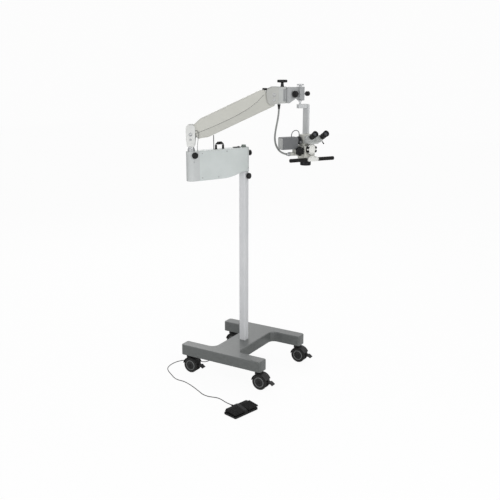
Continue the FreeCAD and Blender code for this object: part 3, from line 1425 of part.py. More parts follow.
FLOOR_Z = CORD_RADIUS + 0.4
PEDAL_CORD = [
    (-134, -70, 150), (-160, -73, 136), (-177, -78, 108), (-187, -83, 74), (-200, -89, 42), (-222, -96, 15),
    (-256, -103, FLOOR_Z), (-300, -109, FLOOR_Z), (-345, -122, FLOOR_Z), (-386, -141, FLOOR_Z),
    (-414, -178, FLOOR_Z), (-426, -225, FLOOR_Z), (-423, -275, FLOOR_Z), (-408, -320, FLOOR_Z),
    (-372, -357, FLOOR_Z), (-322, -391, FLOOR_Z), (-275, -424, FLOOR_Z), (-237, -438, FLOOR_Z),
    (-190, -436, FLOOR_Z), (-145, -449, FLOOR_Z), (-87, -474, FLOOR_Z), (-18, -510, FLOOR_Z),
    (24, -533, FLOOR_Z), (62, -541, FLOOR_Z), (95, -536, FLOOR_Z), (126, -527, FLOOR_Z),
    (158, -531, FLOOR_Z), (191, -546, FLOOR_Z), (222, -562, 7),
]


def pedal_cord():
    start = (-WEB_WIDTH / 2 - GLAND_REACH, GLAND_Y, GLAND_Z)
    end = switch_point(0, SWITCH_WIDTH / 2 + RELIEF_REACH, RELIEF_Z)
    before = switch_point(0, SWITCH_WIDTH / 2 + RELIEF_REACH + 28, RELIEF_Z)
    return tube_along("pedal cord", [start] + PEDAL_CORD + [before, end], CORD_RADIUS)


GUIDE_ROUTE = [
    (-115, 130.5, 1696), (-124, 126, 1661), (-138, 116, 1627), (-153, 101, 1592),
    (-165, 84, 1558), (-169, 62, 1526), (-163, 37, 1498), (-146, 14, 1482), (-123, 0, 1478),
]


def light_guide():
    """Fibre cable from the arm head to the light port, in the microscope's frame."""
    gland = on_head(Part.Vertex(V(GUIDE_EXIT, 0, HEAD_BOTTOM - 8)))
    back = FreeCAD.Placement(V(*scope_origin()), FreeCAD.Rotation(UP, SCOPE_HEADING)).inverse()
    start = back.multVec(gland.Point)
    below = start - V(0, 0, 30)
    end = (PORT_MOUTH + PORT_BORE, 0, PORT_Z)
    return tube_along("light guide", [tuple(start), tuple(below)] + GUIDE_ROUTE + [end], GUIDE_RADIUS)


def arm_leads():
    """Thin lead beside the yoke and the lead from the arm's belly to the swing housing."""
    inner, outer = yoke_cheeks()
    middle = -(inner + outer) / 2
    front = YOKE_WIDTH / 2
    thin = tube_along("yoke lead", [
        (front, middle, PIVOT_Z + 24), (front + 11, middle, PIVOT_Z + 24), (front + 19, middle, PIVOT_Z + 14),
        (front + 19, middle, PIVOT_Z - 8), (front + 15, middle, PIVOT_Z - 34), (front + 12, middle + 6, PIVOT_Z - 58),
        (front + 10, middle + 22, PIVOT_Z - 72), (front + 10, middle + 34, PIVOT_Z - 85),
        (front + 10, middle + 34, SWING_TOP + REST_GAP),
    ], 1.6)
    c, s = turn(SWING_HEADING - ARM_HEADING)
    reach = LEAD_ON_SWING - SWING_LENGTH
    foot = (reach * c, reach * s)
    belly = (136, -6)
    ways = [(0.0, 96.5), (0.0, 80.0), (0.12, 62.0), (0.36, 50.0), (0.7, 42.0), (1.0, 30.0), (1.0, REST_GAP)]
    points = []
    for share, height in ways:
        x = belly[0] + (foot[0] - belly[0]) * share
        y = belly[1] + (foot[1] - belly[1]) * share
        points.append((x, y, SWING_TOP + height))
    thick = tube_along("arm lead", points, LEAD_RADIUS)
    return group(thin, thick)


LEAD_ON_SWING = 226.0


def build():
    parts = {
        "base_casting": base_casting(),
        "column_tube": column_tube(),
        "column_clamp_knob": column_clamp_knob(),
        "cord_gland": cord_gland(),
        "pedal_housing": on_floor(pedal_housing()),
        "pedal_left": on_floor(pedal(-1)),
        "pedal_right": on_floor(pedal(1)),
        "pedal_cord": pedal_cord(),
    }
    for name in CASTORS:
        parts.update(castor_parts(name))
    for maker in (swing_frame, swing_housing, power_supply, carry_handle, power_switch, brightness_knob,
                  post_brake_knob, swing_brake_knob):
        parts[maker.__name__] = on_swing(maker())
    for maker in (post_tube, arm_yoke, rear_pivot_pins, arm_leads):
        parts[maker.__name__] = on_post(maker())
    for maker in (arm_beam, arm_casing, arm_cover, balance_spring):
        parts[maker.__name__] = on_arm(maker())
    parts["parallel_rod"] = placed_rod()
    for maker in (arm_head, front_pivot_pins, carrier_arm, t_knob):
        parts[maker.__name__] = on_head(maker())
    parts["block_knob_left"] = on_head(block_knob(-1))
    parts["block_knob_right"] = on_head(block_knob(1))
    for maker in (hanging_pin, scope_bracket, star_knob, optics_body, mag_drum, objective_ring,
                  objective_lens, beam_splitter, camera_module, binocular_housing, handlebar, grips,
                  light_guide):
        parts[maker.__name__] = on_scope(maker())
    for side, hand in ((-1, "left"), (1, "right")):
        parts["tube_" + hand] = on_scope(tube(side))
        parts["eyepiece_" + hand] = on_scope(eyepiece(side))
    return parts


def main():
    os.makedirs("parts", exist_ok=True)
    for name, shape in build().items():
        shape.exportStep("parts/" + name + ".step")


if __name__ == "__main__":
    main()
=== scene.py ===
import math

import bpy
from mathutils import Matrix, Vector


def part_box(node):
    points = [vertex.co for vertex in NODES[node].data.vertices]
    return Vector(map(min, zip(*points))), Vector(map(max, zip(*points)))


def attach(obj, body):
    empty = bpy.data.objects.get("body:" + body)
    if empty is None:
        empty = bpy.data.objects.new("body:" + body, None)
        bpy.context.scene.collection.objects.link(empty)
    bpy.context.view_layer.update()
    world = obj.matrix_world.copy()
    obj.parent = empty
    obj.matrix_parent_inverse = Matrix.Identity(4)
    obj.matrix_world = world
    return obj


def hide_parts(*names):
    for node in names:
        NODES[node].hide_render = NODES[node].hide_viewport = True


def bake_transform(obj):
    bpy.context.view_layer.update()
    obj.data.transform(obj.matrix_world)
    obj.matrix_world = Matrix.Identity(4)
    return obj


bl_info = {
    "name": "Surgical Microscope Stand",
    "version": (1, 0, 0),
    "blender": (4, 5, 0),
    "location": "View3D > Sidebar > Microscope",
    "description": "Dresses a floor-standing surgical microscope: paints, knobs, cords and small fittings",
    "category": "Object",
}

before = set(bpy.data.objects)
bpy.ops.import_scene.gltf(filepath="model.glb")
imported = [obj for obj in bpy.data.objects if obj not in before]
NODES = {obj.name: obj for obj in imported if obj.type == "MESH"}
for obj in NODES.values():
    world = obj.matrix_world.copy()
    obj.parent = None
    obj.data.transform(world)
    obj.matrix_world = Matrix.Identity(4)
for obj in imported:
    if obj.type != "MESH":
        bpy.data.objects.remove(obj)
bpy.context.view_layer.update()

MM = 0.001
MERGE_GAP = 0.02 * MM
SHARP_ANGLE = math.radians(35)
CORNERS = ("front_left", "front_right", "rear_left", "rear_right")

# Headings about the vertical and rises of the arm and the eyepieces, in degrees; BLOCK_TURN is from the arm
SWING_TURN = 246.4
ARM_TURN = 31.4
BLOCK_TURN = 44
SCOPE_TURN = 58.4
SWITCH_TURN = 76.0
ARM_RISE = 25.0
EYEPIECE_RISE = 28

# Reaches from axis to axis, places and heights, in mm; the places are in the frames of their own bodies
POST_REACH = 388
ARM_LENGTH = 548
CARRIER_REACH = 155
SCOPE_REACH = 75
PIVOT_HEIGHT = 1585
AXLE_HEIGHT = 50
WHEEL_OFFSET = 9
SWITCH_X, SWITCH_Y = 349, -604
CORD_GLAND = (-105, -70, 150)
CORD_BORE = 2.7
CORD_ON_FLOOR = 3.0
SWITCH_INLET = 72
PEDAL_FRONT = -49
PEDAL_DEPTH = 77
PEDAL_LOW = 27
PEDAL_RISE = 8
SWING_TOP = 1482
SWING_HALF_WIDTH = 32
HANDLE_CENTRE = 184
HANDLE_HALF_SPAN = 26
HANDLE_RISE = 36
YOKE_HALF_WIDTH = 44
ARM_HALF_WIDTH = 35.15
HEAD_HALF_WIDTH = 36.3
CHEEK_FACE = 45.4
BRAKE_SEAT = (48, 0, 46)
BLOCK_HALF_WIDTH = 19
DRUM_CENTRE = (0, -50, 1507)
OBJECTIVE_LOW = 1407
LIGHT_PORT = (-115, 0, 1478)
CAMERA_SEAT = (-35, 0, 1556)
EYEPIECE_SEAT = (36.5, -142, 1596)

# The camera's height and lens, in metres and mm, its dip in degrees and its shift as a share of the picture
VIEW_HEIGHT = 2.032
VIEW_LENS = 54.36
VIEW_DIP = 14.33
VIEW_SHIFT = 0.0122

# Brightness of the floor's glow and of the air behind, as the camera sees them, and the glow's share
FLOOR_GLOW = 1.012
FLOOR_GLOW_SHARE = 0.93
AIR_SEEN = 0.977


def ray(degrees):
    """Cosine and sine of an angle."""
    return math.cos(math.radians(degrees)), math.sin(math.radians(degrees))


def beyond(place, reach, heading):
    """Place in metres that lies a level reach in mm beyond another."""
    c, s = ray(heading)
    return place[0] + reach * MM * c, place[1] + reach * MM * s


def moved(x, y, z):
    """Matrix of a move in mm."""
    return Matrix.Translation((x * MM, y * MM, z * MM))


def turned(degrees, axis):
    return Matrix.Rotation(math.radians(degrees), 4, axis)


def standing(place, height, heading):
    """Matrix of a local frame that is turned about the vertical, at a place in metres and a height in mm."""
    return Matrix.Translation((*place, height * MM)) @ turned(heading, "Z")


POST = beyond((0, 0), POST_REACH, SWING_TURN)
FRONT = beyond(POST, ARM_LENGTH * ray(ARM_RISE)[0], ARM_TURN)
PIN = beyond(FRONT, CARRIER_REACH, ARM_TURN)
SCOPE = beyond(PIN, SCOPE_REACH, SCOPE_TURN - 90)
ON_STAND = Matrix.Identity(4)
ON_SWING = standing((0, 0), 0, SWING_TURN)
ON_POST = standing(POST, 0, ARM_TURN)
ON_ARM = standing(POST, PIVOT_HEIGHT, ARM_TURN) @ turned(-ARM_RISE, "Y")
ON_HEAD = standing(FRONT, PIVOT_HEIGHT + ARM_LENGTH * ray(ARM_RISE)[1], ARM_TURN)
ON_SCOPE = standing(SCOPE, 0, SCOPE_TURN)
ON_SWITCH = standing((SWITCH_X * MM, SWITCH_Y * MM), 0, SWITCH_TURN)


# Selection and mesh tools

def clear():
    """Leaves edit mode and deselects everything."""
    if bpy.context.object and bpy.context.object.mode != "OBJECT":
        bpy.ops.object.mode_set(mode="OBJECT")
    bpy.ops.object.select_all(action="DESELECT")


def only(piece):
    clear()
    piece.select_set(True)
    bpy.context.view_layer.objects.active = piece


def settle(piece, home):
    """Puts the piece's place into its mesh."""
    only(piece)
    piece.matrix_world = home @ piece.matrix_world
    bpy.ops.object.transform_apply(location=True, rotation=True, scale=True)


def select_mesh():
    """Selects all of the mesh that is being edited."""
    bpy.ops.mesh.select_all(action="SELECT")


def eased(piece, width, segments=2):
    """Bevels the sharp edges and smooths what is round."""
    only(piece)
    edge = piece.modifiers.new("Eased edges", "BEVEL")
    edge.width = width
    edge.segments = segments
    edge.limit_method = "ANGLE"
    edge.angle_limit = SHARP_ANGLE
    bpy.ops.object.modifier_apply(modifier=edge.name)
    bpy.ops.object.shade_smooth_by_angle(angle=math.radians(40))
    return piece


def aim(toward):
    """Rotation that carries +Z to a direction."""
    return Vector((0, 0, 1)).rotation_difference(Vector(toward)).to_matrix().to_4x4()


def pick_faces(piece, test):
    """Selects the faces whose centre and normal pass a test; the piece stays in object mode."""
    mesh = piece.data
    for vertex in mesh.vertices:
        vertex.select = False
    for edge in mesh.edges:
        edge.select = False
    for face in mesh.polygons:
        face.select = bool(test(face.center, face.normal))


def drawn(name, outline, depth=0):
    """Line through an outline of (x, z) in mm, drawn point by point; the piece stays in edit mode."""
    clear()
    bpy.ops.mesh.primitive_circle_add(vertices=3, radius=MM, location=(0, 0, 0))
    piece = bpy.context.object
    piece.name = name
    bpy.ops.object.mode_set(mode="EDIT")
    select_mesh()
    bpy.ops.mesh.merge(type="CENTER")
    last = outline[0]
    bpy.ops.transform.translate(value=(last[0] * MM, depth * MM, last[1] * MM))
    for point in outline[1:]:
        step = ((point[0] - last[0]) * MM, 0, (point[1] - last[1]) * MM)
        bpy.ops.mesh.extrude_region_move(TRANSFORM_OT_translate={"value": step})
        last = point
    select_mesh()
    return piece


def spun(name, outline, at, toward, home, steps=48, flutes=0, bite=0.0, rim=0.0, ease=0.0):
    """Turned piece: an outline of (radius, height) in mm, spun about Z, with flutes pressed into its rim."""
    piece = drawn(name, outline)
    bpy.ops.mesh.spin(steps=steps, angle=2 * math.pi, center=(0, 0, 0), axis=(0, 0, 1))
    select_mesh()
    bpy.ops.mesh.remove_doubles(threshold=MERGE_GAP)
    bpy.ops.mesh.normals_make_consistent(inside=False)
    bpy.ops.object.mode_set(mode="OBJECT")
    if flutes:
        sector = 2 * math.pi / flutes

        def hollow(centre, normal):
            turn = (math.atan2(centre.y, centre.x) % sector) / sector
            return abs(normal.z) < 0.5 and math.hypot(centre.x, centre.y) > rim * MM and 0.25 < turn < 0.75

        pick_faces(piece, hollow)
        bpy.ops.object.mode_set(mode="EDIT")
        bpy.ops.mesh.extrude_region_shrink_fatten(TRANSFORM_OT_shrink_fatten={"value": -bite * MM})
        bpy.ops.object.mode_set(mode="OBJECT")
    settle(piece, home @ moved(*at) @ aim(toward))
    if ease:
        eased(piece, ease * MM)
    else:
        only(piece)
        bpy.ops.object.shade_smooth_by_angle(angle=SHARP_ANGLE)
    return piece


def boxed(name, x, y, z, home, ease=1.0, segments=3):
    """Block between limits in mm, added as a cube, sized and given eased edges."""
    clear()
    bpy.ops.mesh.primitive_cube_add(size=1, location=(0, 0, 0))
    piece = bpy.context.object
    piece.name = name
    bpy.ops.object.mode_set(mode="EDIT")
    select_mesh()
    bpy.ops.transform.resize(value=((x[1] - x[0]) * MM, (y[1] - y[0]) * MM, (z[1] - z[0]) * MM))
    middle = [(pair[0] + pair[1]) / 2 * MM for pair in (x, y, z)]
    bpy.ops.transform.translate(value=middle)
    bpy.ops.object.mode_set(mode="OBJECT")
    settle(piece, home)
    return eased(piece, ease * MM, segments)


def sheet_plate(name, outline, low, high, home, corner=4.0, ease=1.0):
    """Plate with rounded corners: an outline of (x, z) in mm, filled and extruded along y."""
    piece = drawn(name, outline + outline[:1], low)
    bpy.ops.mesh.remove_doubles(threshold=MERGE_GAP)
    bpy.ops.mesh.edge_face_add()
    select_mesh()
    bpy.ops.mesh.bevel(offset=corner * MM, segments=5, affect="VERTICES")
    select_mesh()
    bpy.ops.mesh.extrude_region_move(TRANSFORM_OT_translate={"value": (0, (high - low) * MM, 0)})
    select_mesh()
    bpy.ops.mesh.normals_make_consistent(inside=False)
    bpy.ops.object.mode_set(mode="OBJECT")
    settle(piece, home)
    return eased(piece, ease * MM, 3)


def joined(name, pieces):
    """One piece made of several."""
    clear()
    for piece in pieces:
        piece.select_set(True)
    bpy.context.view_layer.objects.active = pieces[0]
    bpy.ops.object.join()
    whole = bpy.context.object
    whole.name = name
    return whole


def finish_piece(piece, body, finish, stands_for=()):
    """Gives a piece its finish, its body and its slot, and hides the CAD nodes that it stands for."""
    piece.data.materials.clear()
    piece.data.materials.append(FINISH[finish])
    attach(piece, body)
    if stands_for:
        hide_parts(*stands_for)


def lead(name, points, radius, material, home=ON_STAND, bevel=4):
    """Flexible lead: one smooth NURBS line along its route in mm, given thickness."""
    curve = bpy.data.curves.new(name, "CURVE")
    curve.dimensions = "3D"
    line = curve.splines.new("NURBS")
    line.points.add(len(points) - 1)
    for spot, point in zip(line.points, points):
        spot.co = (*(home @ Vector([c * MM for c in point])), 1)
    line.order_u = 3
    line.use_endpoint_u = True
    line.resolution_u = 8
    curve.bevel_depth = radius * MM
    curve.bevel_resolution = bevel
    curve.use_fill_caps = True
    piece = bpy.data.objects.new(name, curve)
    bpy.context.scene.collection.objects.link(piece)
    curve.materials.append(material)
    return piece


def screw(at, toward, home, radius):
    """Domed screw head with a socket pressed into it."""
    return spun("screw", [
        (0, -0.6), (radius, -0.6), (radius, radius * 0.24), (radius * 0.86, radius * 0.5),
        (radius * 0.55, radius * 0.62), (radius * 0.55, radius * 0.2), (0, radius * 0.2),
    ], at, toward, home, 24)


def ribbed_sleeve(flange, start, pitch, count, reach, fall, rib, notch, length):
    """Outline of a cord's strain relief: a flange, then ribs that get smaller as they go along the cord."""
    outline = [(CORD_BORE, 0), (flange, 0)]
    for index in range(count):
        low = start + pitch * index
        edge = reach - fall * index
        outline += [(edge, low), (edge, low + rib), (edge - notch, low + rib + 0.4),
                    (edge - notch, low + pitch - 0.2)]
    return outline + [(CORD_BORE, length), (CORD_BORE, 0)]


def bent_lead(name, points, radius, finish, home, first, second, node, turns_from=0):
    """Lead along its route, made a smooth mesh and set in the world frame; the CAD node that it stands for is
    hidden.
    """
    piece = lead(name, points, radius, FINISH[finish], home, 5)
    only(piece)
    bpy.ops.object.convert(target="MESH")
    piece = bpy.context.object
    bpy.ops.object.shade_smooth_by_angle(angle=math.radians(60))
    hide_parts(node)
    start = home @ (Vector(points[turns_from]) * MM)
    end = home @ (Vector(points[-1]) * MM)
    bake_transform(piece)


# Materials

def tint(red, green, blue):
    """Colour as it looks on a screen, 0 to 255, made linear."""
    made = []
    for value in (red, green, blue):
        share = value / 255
        made.append(share / 12.92 if share <= 0.04045 else ((share + 0.055) / 1.055) ** 2.4)
    return (*made, 1.0)


def new_node(tree, kind, values=None):
    """Shader node with its own values in its named inputs."""
    node = tree.nodes.new("ShaderNode" + kind)
    for name, value in (values or {}).items():
        node.inputs[name].default_value = value
    return node


def maths(tree, operation, *terms):
    """Result of a Math node whose terms are numbers or what other nodes put out."""
    node = new_node(tree, "Math")
    node.operation = operation
    for place, term in zip(node.inputs, terms):
        if isinstance(term, bpy.types.NodeSocket):
            tree.links.new(term, place)
        else:
            place.default_value = term
    return node.outputs[0]


def new_group(name, inputs, outputs):
    """Node group with named inputs, each with its default, and named outputs."""
    group = bpy.data.node_groups.new(name, "ShaderNodeTree")
    for label, default in inputs.items():
        kind = "NodeSocketColor" if isinstance(default, tuple) else "NodeSocketFloat"
        made = group.interface.new_socket(name=label, in_out="INPUT", socket_type=kind)
        made.default_value = default
    for label in outputs:
        kind = "NodeSocketColor" if label == "Colour" else "NodeSocketFloat"
        group.interface.new_socket(name=label, in_out="OUTPUT", socket_type=kind)
    return group, group.nodes.new("NodeGroupInput"), group.nodes.new("NodeGroupOutput")


def mixed_colour(group, enter, leave, share, second):
    """The group's colour, which goes over to its second one by a share."""
    mix = new_node(group, "Mix")
    mix.data_type = "RGBA"
    group.links.new(share, mix.inputs["Factor"])
    group.links.new(enter.outputs["Colour"], mix.inputs["A"])
    group.links.new(enter.outputs[second], mix.inputs["B"])
    group.links.new(mix.outputs["Result"], leave.inputs["Colour"])


def coat_group():
    """Paint and plastic: slow colour drift, fine grain in the relief, uneven gloss."""
    group, enter, leave = new_group("Even coat", {
        "Colour": (0.5, 0.5, 0.5, 1), "Drift colour": (0.45, 0.45, 0.45, 1), "Drift": 0.5, "Drift scale": 9.0,
        "Grain scale": 700.0, "Gloss": 0.4, "Gloss swing": 0.1,
    }, ("Colour", "Roughness", "Height"))
    links = group.links
    where = new_node(group, "TexCoord")
    slow = new_node(group, "TexNoise", {"Detail": 5, "Roughness": 0.6})
    fine = new_node(group, "TexNoise", {"Detail": 2})
    spread = new_node(group, "MapRange", {"From Min": 0.35, "From Max": 0.65})
    links.new(where.outputs["Object"], slow.inputs["Vector"])
    links.new(where.outputs["Object"], fine.inputs["Vector"])
    links.new(enter.outputs["Drift scale"], slow.inputs["Scale"])
    links.new(enter.outputs["Grain scale"], fine.inputs["Scale"])
    links.new(slow.outputs["Fac"], spread.inputs["Value"])
    share = maths(group, "MULTIPLY", spread.outputs["Result"], enter.outputs["Drift"])
    mixed_colour(group, enter, leave, share, "Drift colour")
    gloss = maths(group, "MULTIPLY_ADD", spread.outputs["Result"], enter.outputs["Gloss swing"],
                  enter.outputs["Gloss"])
    links.new(gloss, leave.inputs["Roughness"])
    links.new(fine.outputs["Fac"], leave.inputs["Height"])
    return group


def hammer_group():
    """Hammered enamel: shallow rounded dimples a few millimetres wide, with specks between them."""
    group, enter, leave = new_group("Hammered enamel", {
        "Colour": (0.3, 0.3, 0.3, 1), "Speck colour": (0.2, 0.2, 0.2, 1), "Dimple scale": 220.0,
    }, ("Colour", "Height"))
    links = group.links
    where = new_node(group, "TexCoord")
    dimple = new_node(group, "TexVoronoi")
    dimple.feature = "SMOOTH_F1"
    dimple.inputs["Smoothness"].default_value = 0.6
    speck = new_node(group, "TexNoise", {"Detail": 4, "Scale": 60})
    spread = new_node(group, "MapRange", {"From Min": 0.4, "From Max": 0.7, "To Max": 0.6})
    links.new(where.outputs["Object"], dimple.inputs["Vector"])
    links.new(where.outputs["Object"], speck.inputs["Vector"])
    links.new(enter.outputs["Dimple scale"], dimple.inputs["Scale"])
    links.new(speck.outputs["Fac"], spread.inputs["Value"])
    mixed_colour(group, enter, leave, spread.outputs["Result"], "Speck colour")
    links.new(dimple.outputs["Distance"], leave.inputs["Height"])
    return group


def brush_group():
    """Brushed metal: long fine scratches along Z."""
    group, enter, leave = new_group("Brushed grain", {
        "Colour": (0.6, 0.6, 0.6, 1), "Scratch colour": (0.4, 0.4, 0.4, 1), "Gloss": 0.3,
    }, ("Colour", "Roughness", "Height"))
    links = group.links
    where = new_node(group, "TexCoord")
    stretch = new_node(group, "Mapping", {"Scale": (900, 900, 18)})
    grain = new_node(group, "TexNoise", {"Detail": 3, "Scale": 1})
    links.new(where.outputs["Object"], stretch.inputs["Vector"])
    links.new(stretch.outputs["Vector"], grain.inputs["Vector"])
    mixed_colour(group, enter, leave, grain.outputs["Fac"], "Scratch colour")
    gloss = maths(group, "MULTIPLY_ADD", grain.outputs["Fac"], 0.15, enter.outputs["Gloss"])
    links.new(gloss, leave.inputs["Roughness"])
    links.new(grain.outputs["Fac"], leave.inputs["Height"])
    return group


GROUPS = {}
FINISH = {}


def new_finish(name, group, values, metallic=0.0, specular=0.5, coat=0.0):
    """Material with one of the node groups in it, whose colour and gloss go to the shader."""
    made = bpy.data.materials.new(name)
    made.use_nodes = True
    tree = made.node_tree
    shader = tree.nodes["Principled BSDF"]
    shader.inputs["Metallic"].default_value = metallic
    shader.inputs["Specular IOR Level"].default_value = specular
    shader.inputs["Coat Weight"].default_value = coat
    part = tree.nodes.new("ShaderNodeGroup")
    part.node_tree = GROUPS[group]
    for label, value in values.items():
        part.inputs[label].default_value = value
    tree.links.new(part.outputs["Colour"], shader.inputs["Base Color"])
    if "Roughness" in part.outputs:
        tree.links.new(part.outputs["Roughness"], shader.inputs["Roughness"])
    FINISH[name] = made
    return tree, shader, part.outputs["Height"]


def relief(tree, shader, height, depth, strength):
    """Bumps of a depth in metres where the group's height says so."""
    bump = new_node(tree, "Bump", {"Strength": strength, "Distance": depth})
    tree.links.new(height, bump.inputs["Height"])
    tree.links.new(bump.outputs["Normal"], shader.inputs["Normal"])


def coated(name, colour, drift, amount=0.5, drift_scale=9.0, grain=700.0, gloss=0.4, swing=0.1,
           depth=0.0002, strength=0.25, specular=0.5, metallic=0.0):
    tree, shader, height = new_finish(name, "coat", {
        "Colour": colour, "Drift colour": drift, "Drift": amount, "Drift scale": drift_scale,
        "Grain scale": grain, "Gloss": gloss, "Gloss swing": swing,
    }, metallic, specular)
    relief(tree, shader, height, depth, strength)


def hammered(name, colour, speck):
    tree, shader, height = new_finish(name, "hammer", {"Colour": colour, "Speck colour": speck}, coat=0.3)
    shader.inputs["Roughness"].default_value = 0.36
    shader.inputs["Coat Roughness"].default_value = 0.3
    relief(tree, shader, height, 0.0006, 0.3)


def brushed(name, colour, scratch, gloss):
    values = {"Colour": colour, "Scratch colour": scratch, "Gloss": gloss}
    tree, shader, height = new_finish(name, "brush", values, metallic=1.0)
    relief(tree, shader, height, 0.0001, 0.15)


def coated_glass(name, colour, sheen):
    shader = new_finish(name, "coat", {
        "Colour": colour, "Drift colour": sheen, "Drift": 0.35, "Drift scale": 40, "Gloss": 0.04,
        "Gloss swing": 0.02,
    }, coat=0.6)[1]
    shader.inputs["Transmission Weight"].default_value = 0.6
    shader.inputs["IOR"].default_value = 1.5


def build_finishes(looks):
    GROUPS["coat"] = coat_group()
    GROUPS["hammer"] = hammer_group()
    GROUPS["brush"] = brush_group()
    hammered("Grey enamel", tuple(looks.base_colour) + (1,), tint(90, 93, 92))
    coated("Column white", tuple(looks.column_colour) + (1,), tint(207, 209, 212), gloss=0.34, grain=420)
    coated("Cover white", tuple(looks.cover_colour) + (1,), tint(202, 209, 207), gloss=0.36, grain=420)
    coated("End block grey", tint(205, 208, 208), tint(192, 196, 196), gloss=0.4, grain=500)
    coated("Yoke white", tint(228, 229, 227), tint(212, 213, 210), gloss=0.38, grain=500)
    coated("Arm shell grey", tint(198, 198, 191), tint(184, 185, 178), gloss=0.46, grain=900, drift_scale=5)
    coated("Arm cover grey", tint(204, 204, 197), tint(192, 192, 185), gloss=0.46, grain=900, drift_scale=5)
    coated("Head grey", tint(196, 198, 196), tint(182, 185, 183), gloss=0.4, grain=500)
    coated("Carrier grey", tint(172, 174, 175), tint(156, 159, 160), gloss=0.4, grain=500)
    coated("Bracket grey", tint(208, 210, 211), tint(194, 197, 198), gloss=0.36, grain=500)
    coated("Optics grey", tint(204, 204, 197), tint(190, 191, 184), gloss=0.4, grain=500)
    # The binocular housing and tubes take a darker grey than the body: painted shade of the housing's
    # shadowed faces.
    coated("Binocular shade grey", tint(190, 192, 190), tint(174, 177, 176), gloss=0.4, grain=500)
    coated("Drum white", tint(236, 236, 232), tint(224, 225, 220), gloss=0.35, grain=600)
    coated("Bar white", tint(232, 232, 229), tint(218, 219, 215), gloss=0.35, grain=600)
    coated("Camera grey", tint(112, 113, 115), tint(96, 98, 100), gloss=0.5, grain=900)
    # The camera's end face takes a pale copy of the camera's grey: painted light on its lit end.
    coated("Camera lit face", tint(190, 191, 190), tint(172, 174, 173), gloss=0.5, grain=900)
    coated("Dial green grey", tint(128, 138, 132), tint(112, 122, 116), gloss=0.45, grain=900)
    coated("Moulded black", tint(13, 13, 14), tint(21, 21, 22), gloss=0.42, swing=0.16, grain=1100,
           depth=0.0003, drift_scale=30, specular=0.3)
    coated("Castor black", tint(12, 12, 13), tint(20, 20, 20), gloss=0.5, swing=0.16, grain=900,
           depth=0.0003, drift_scale=24)
    coated("Tread black", tint(18, 18, 18), tint(34, 34, 33), amount=0.6, gloss=0.68, swing=0.15,
           grain=500, depth=0.0005, strength=0.4, drift_scale=34)
    coated("Grip rubber", tint(14, 14, 14), tint(23, 23, 22), gloss=0.7, swing=0.12, grain=1300,
           depth=0.0004, strength=0.4, drift_scale=40, specular=0.3)
    coated("Pedal rubber", tint(19, 19, 20), tint(31, 31, 31), amount=0.6, gloss=0.66, swing=0.14,
           grain=900, depth=0.0005, strength=0.45, drift_scale=30, specular=0.2)
    coated("Anodised black", tint(38, 38, 40), tint(28, 28, 30), gloss=0.3, grain=1200, metallic=0.6)
    coated("Eyepiece black", tint(15, 15, 16), tint(24, 24, 24), gloss=0.5, grain=1100, drift_scale=40)
    coated("Wheel ring grey", tint(110, 112, 112), tint(94, 96, 96), gloss=0.45, grain=700)
    # The cheeks take a darker grey than the head: painted shade on the sides of the head.
    coated("Cheek shade grey", tint(186, 187, 183), tint(173, 174, 170), gloss=0.44, grain=700)
    coated("Cord black", tint(40, 40, 41), tint(56, 56, 56), gloss=0.55, grain=900, drift_scale=60)
    coated("Guide sheath", tint(148, 150, 148), tint(128, 130, 128), gloss=0.5, grain=900, drift_scale=50)
    coated("Lead grey", tint(126, 127, 126), tint(108, 109, 108), gloss=0.55, grain=900, drift_scale=60)
    coated("Winding varnish", tint(96, 84, 70), tint(74, 66, 58), gloss=0.5, grain=400)
    brushed("Brushed steel", tint(200, 201, 202), tint(150, 152, 154), 0.28)
    brushed("Ground steel", tint(214, 215, 216), tint(176, 178, 180), 0.16)
    brushed("Drawn aluminium", tint(190, 191, 192), tint(160, 161, 163), 0.34)
    brushed("Spring steel", tint(120, 121, 124), tint(84, 86, 90), 0.3)
    coated_glass("Lens glass", tint(58, 68, 80), tint(34, 26, 52))


NODE_FINISH = {
    "base_casting": "Grey enamel", "column_tube": "Column white", "column_clamp_knob": "Moulded black",
    "cord_gland": "Moulded black", "pedal_housing": "Moulded black", "pedal_left": "Pedal rubber",
    "pedal_right": "Pedal rubber", "swing_frame": "End block grey", "swing_housing": "Cover white",
    "power_supply": "Winding varnish", "carry_handle": "Moulded black", "power_switch": "Moulded black",
    "brightness_knob": "Dial green grey", "post_brake_knob": "Moulded black",
    "swing_brake_knob": "Moulded black", "post_tube": "Brushed steel", "arm_yoke": "Yoke white",
    "rear_pivot_pins": "Ground steel", "arm_beam": "Drawn aluminium", "arm_casing": "Arm shell grey",
    "arm_cover": "Arm cover grey", "balance_spring": "Spring steel", "parallel_rod": "Drawn aluminium",
    "arm_head": "Head grey", "front_pivot_pins": "Ground steel", "carrier_arm": "Carrier grey",
    "t_knob": "Moulded black", "block_knob_left": "Moulded black", "block_knob_right": "Moulded black",
    "hanging_pin": "Brushed steel", "scope_bracket": "Bracket grey", "star_knob": "Moulded black",
    "optics_body": "Optics grey", "mag_drum": "Drum white", "objective_ring": "Anodised black",
    "objective_lens": "Lens glass", "beam_splitter": "Optics grey", "camera_module": "Camera grey",
    "binocular_housing": "Binocular shade grey", "tube_left": "Binocular shade grey", "tube_right": "Binocular shade grey",
    "eyepiece_left": "Eyepiece black", "eyepiece_right": "Eyepiece black", "handlebar": "Bar white",
    "grips": "Grip rubber",
}
for corner in CORNERS:
    NODE_FINISH["castor_hood_" + corner] = "Castor black"
    NODE_FINISH["castor_wheels_" + corner] = "Tread black"
    NODE_FINISH["castor_brake_" + corner] = "Castor black"


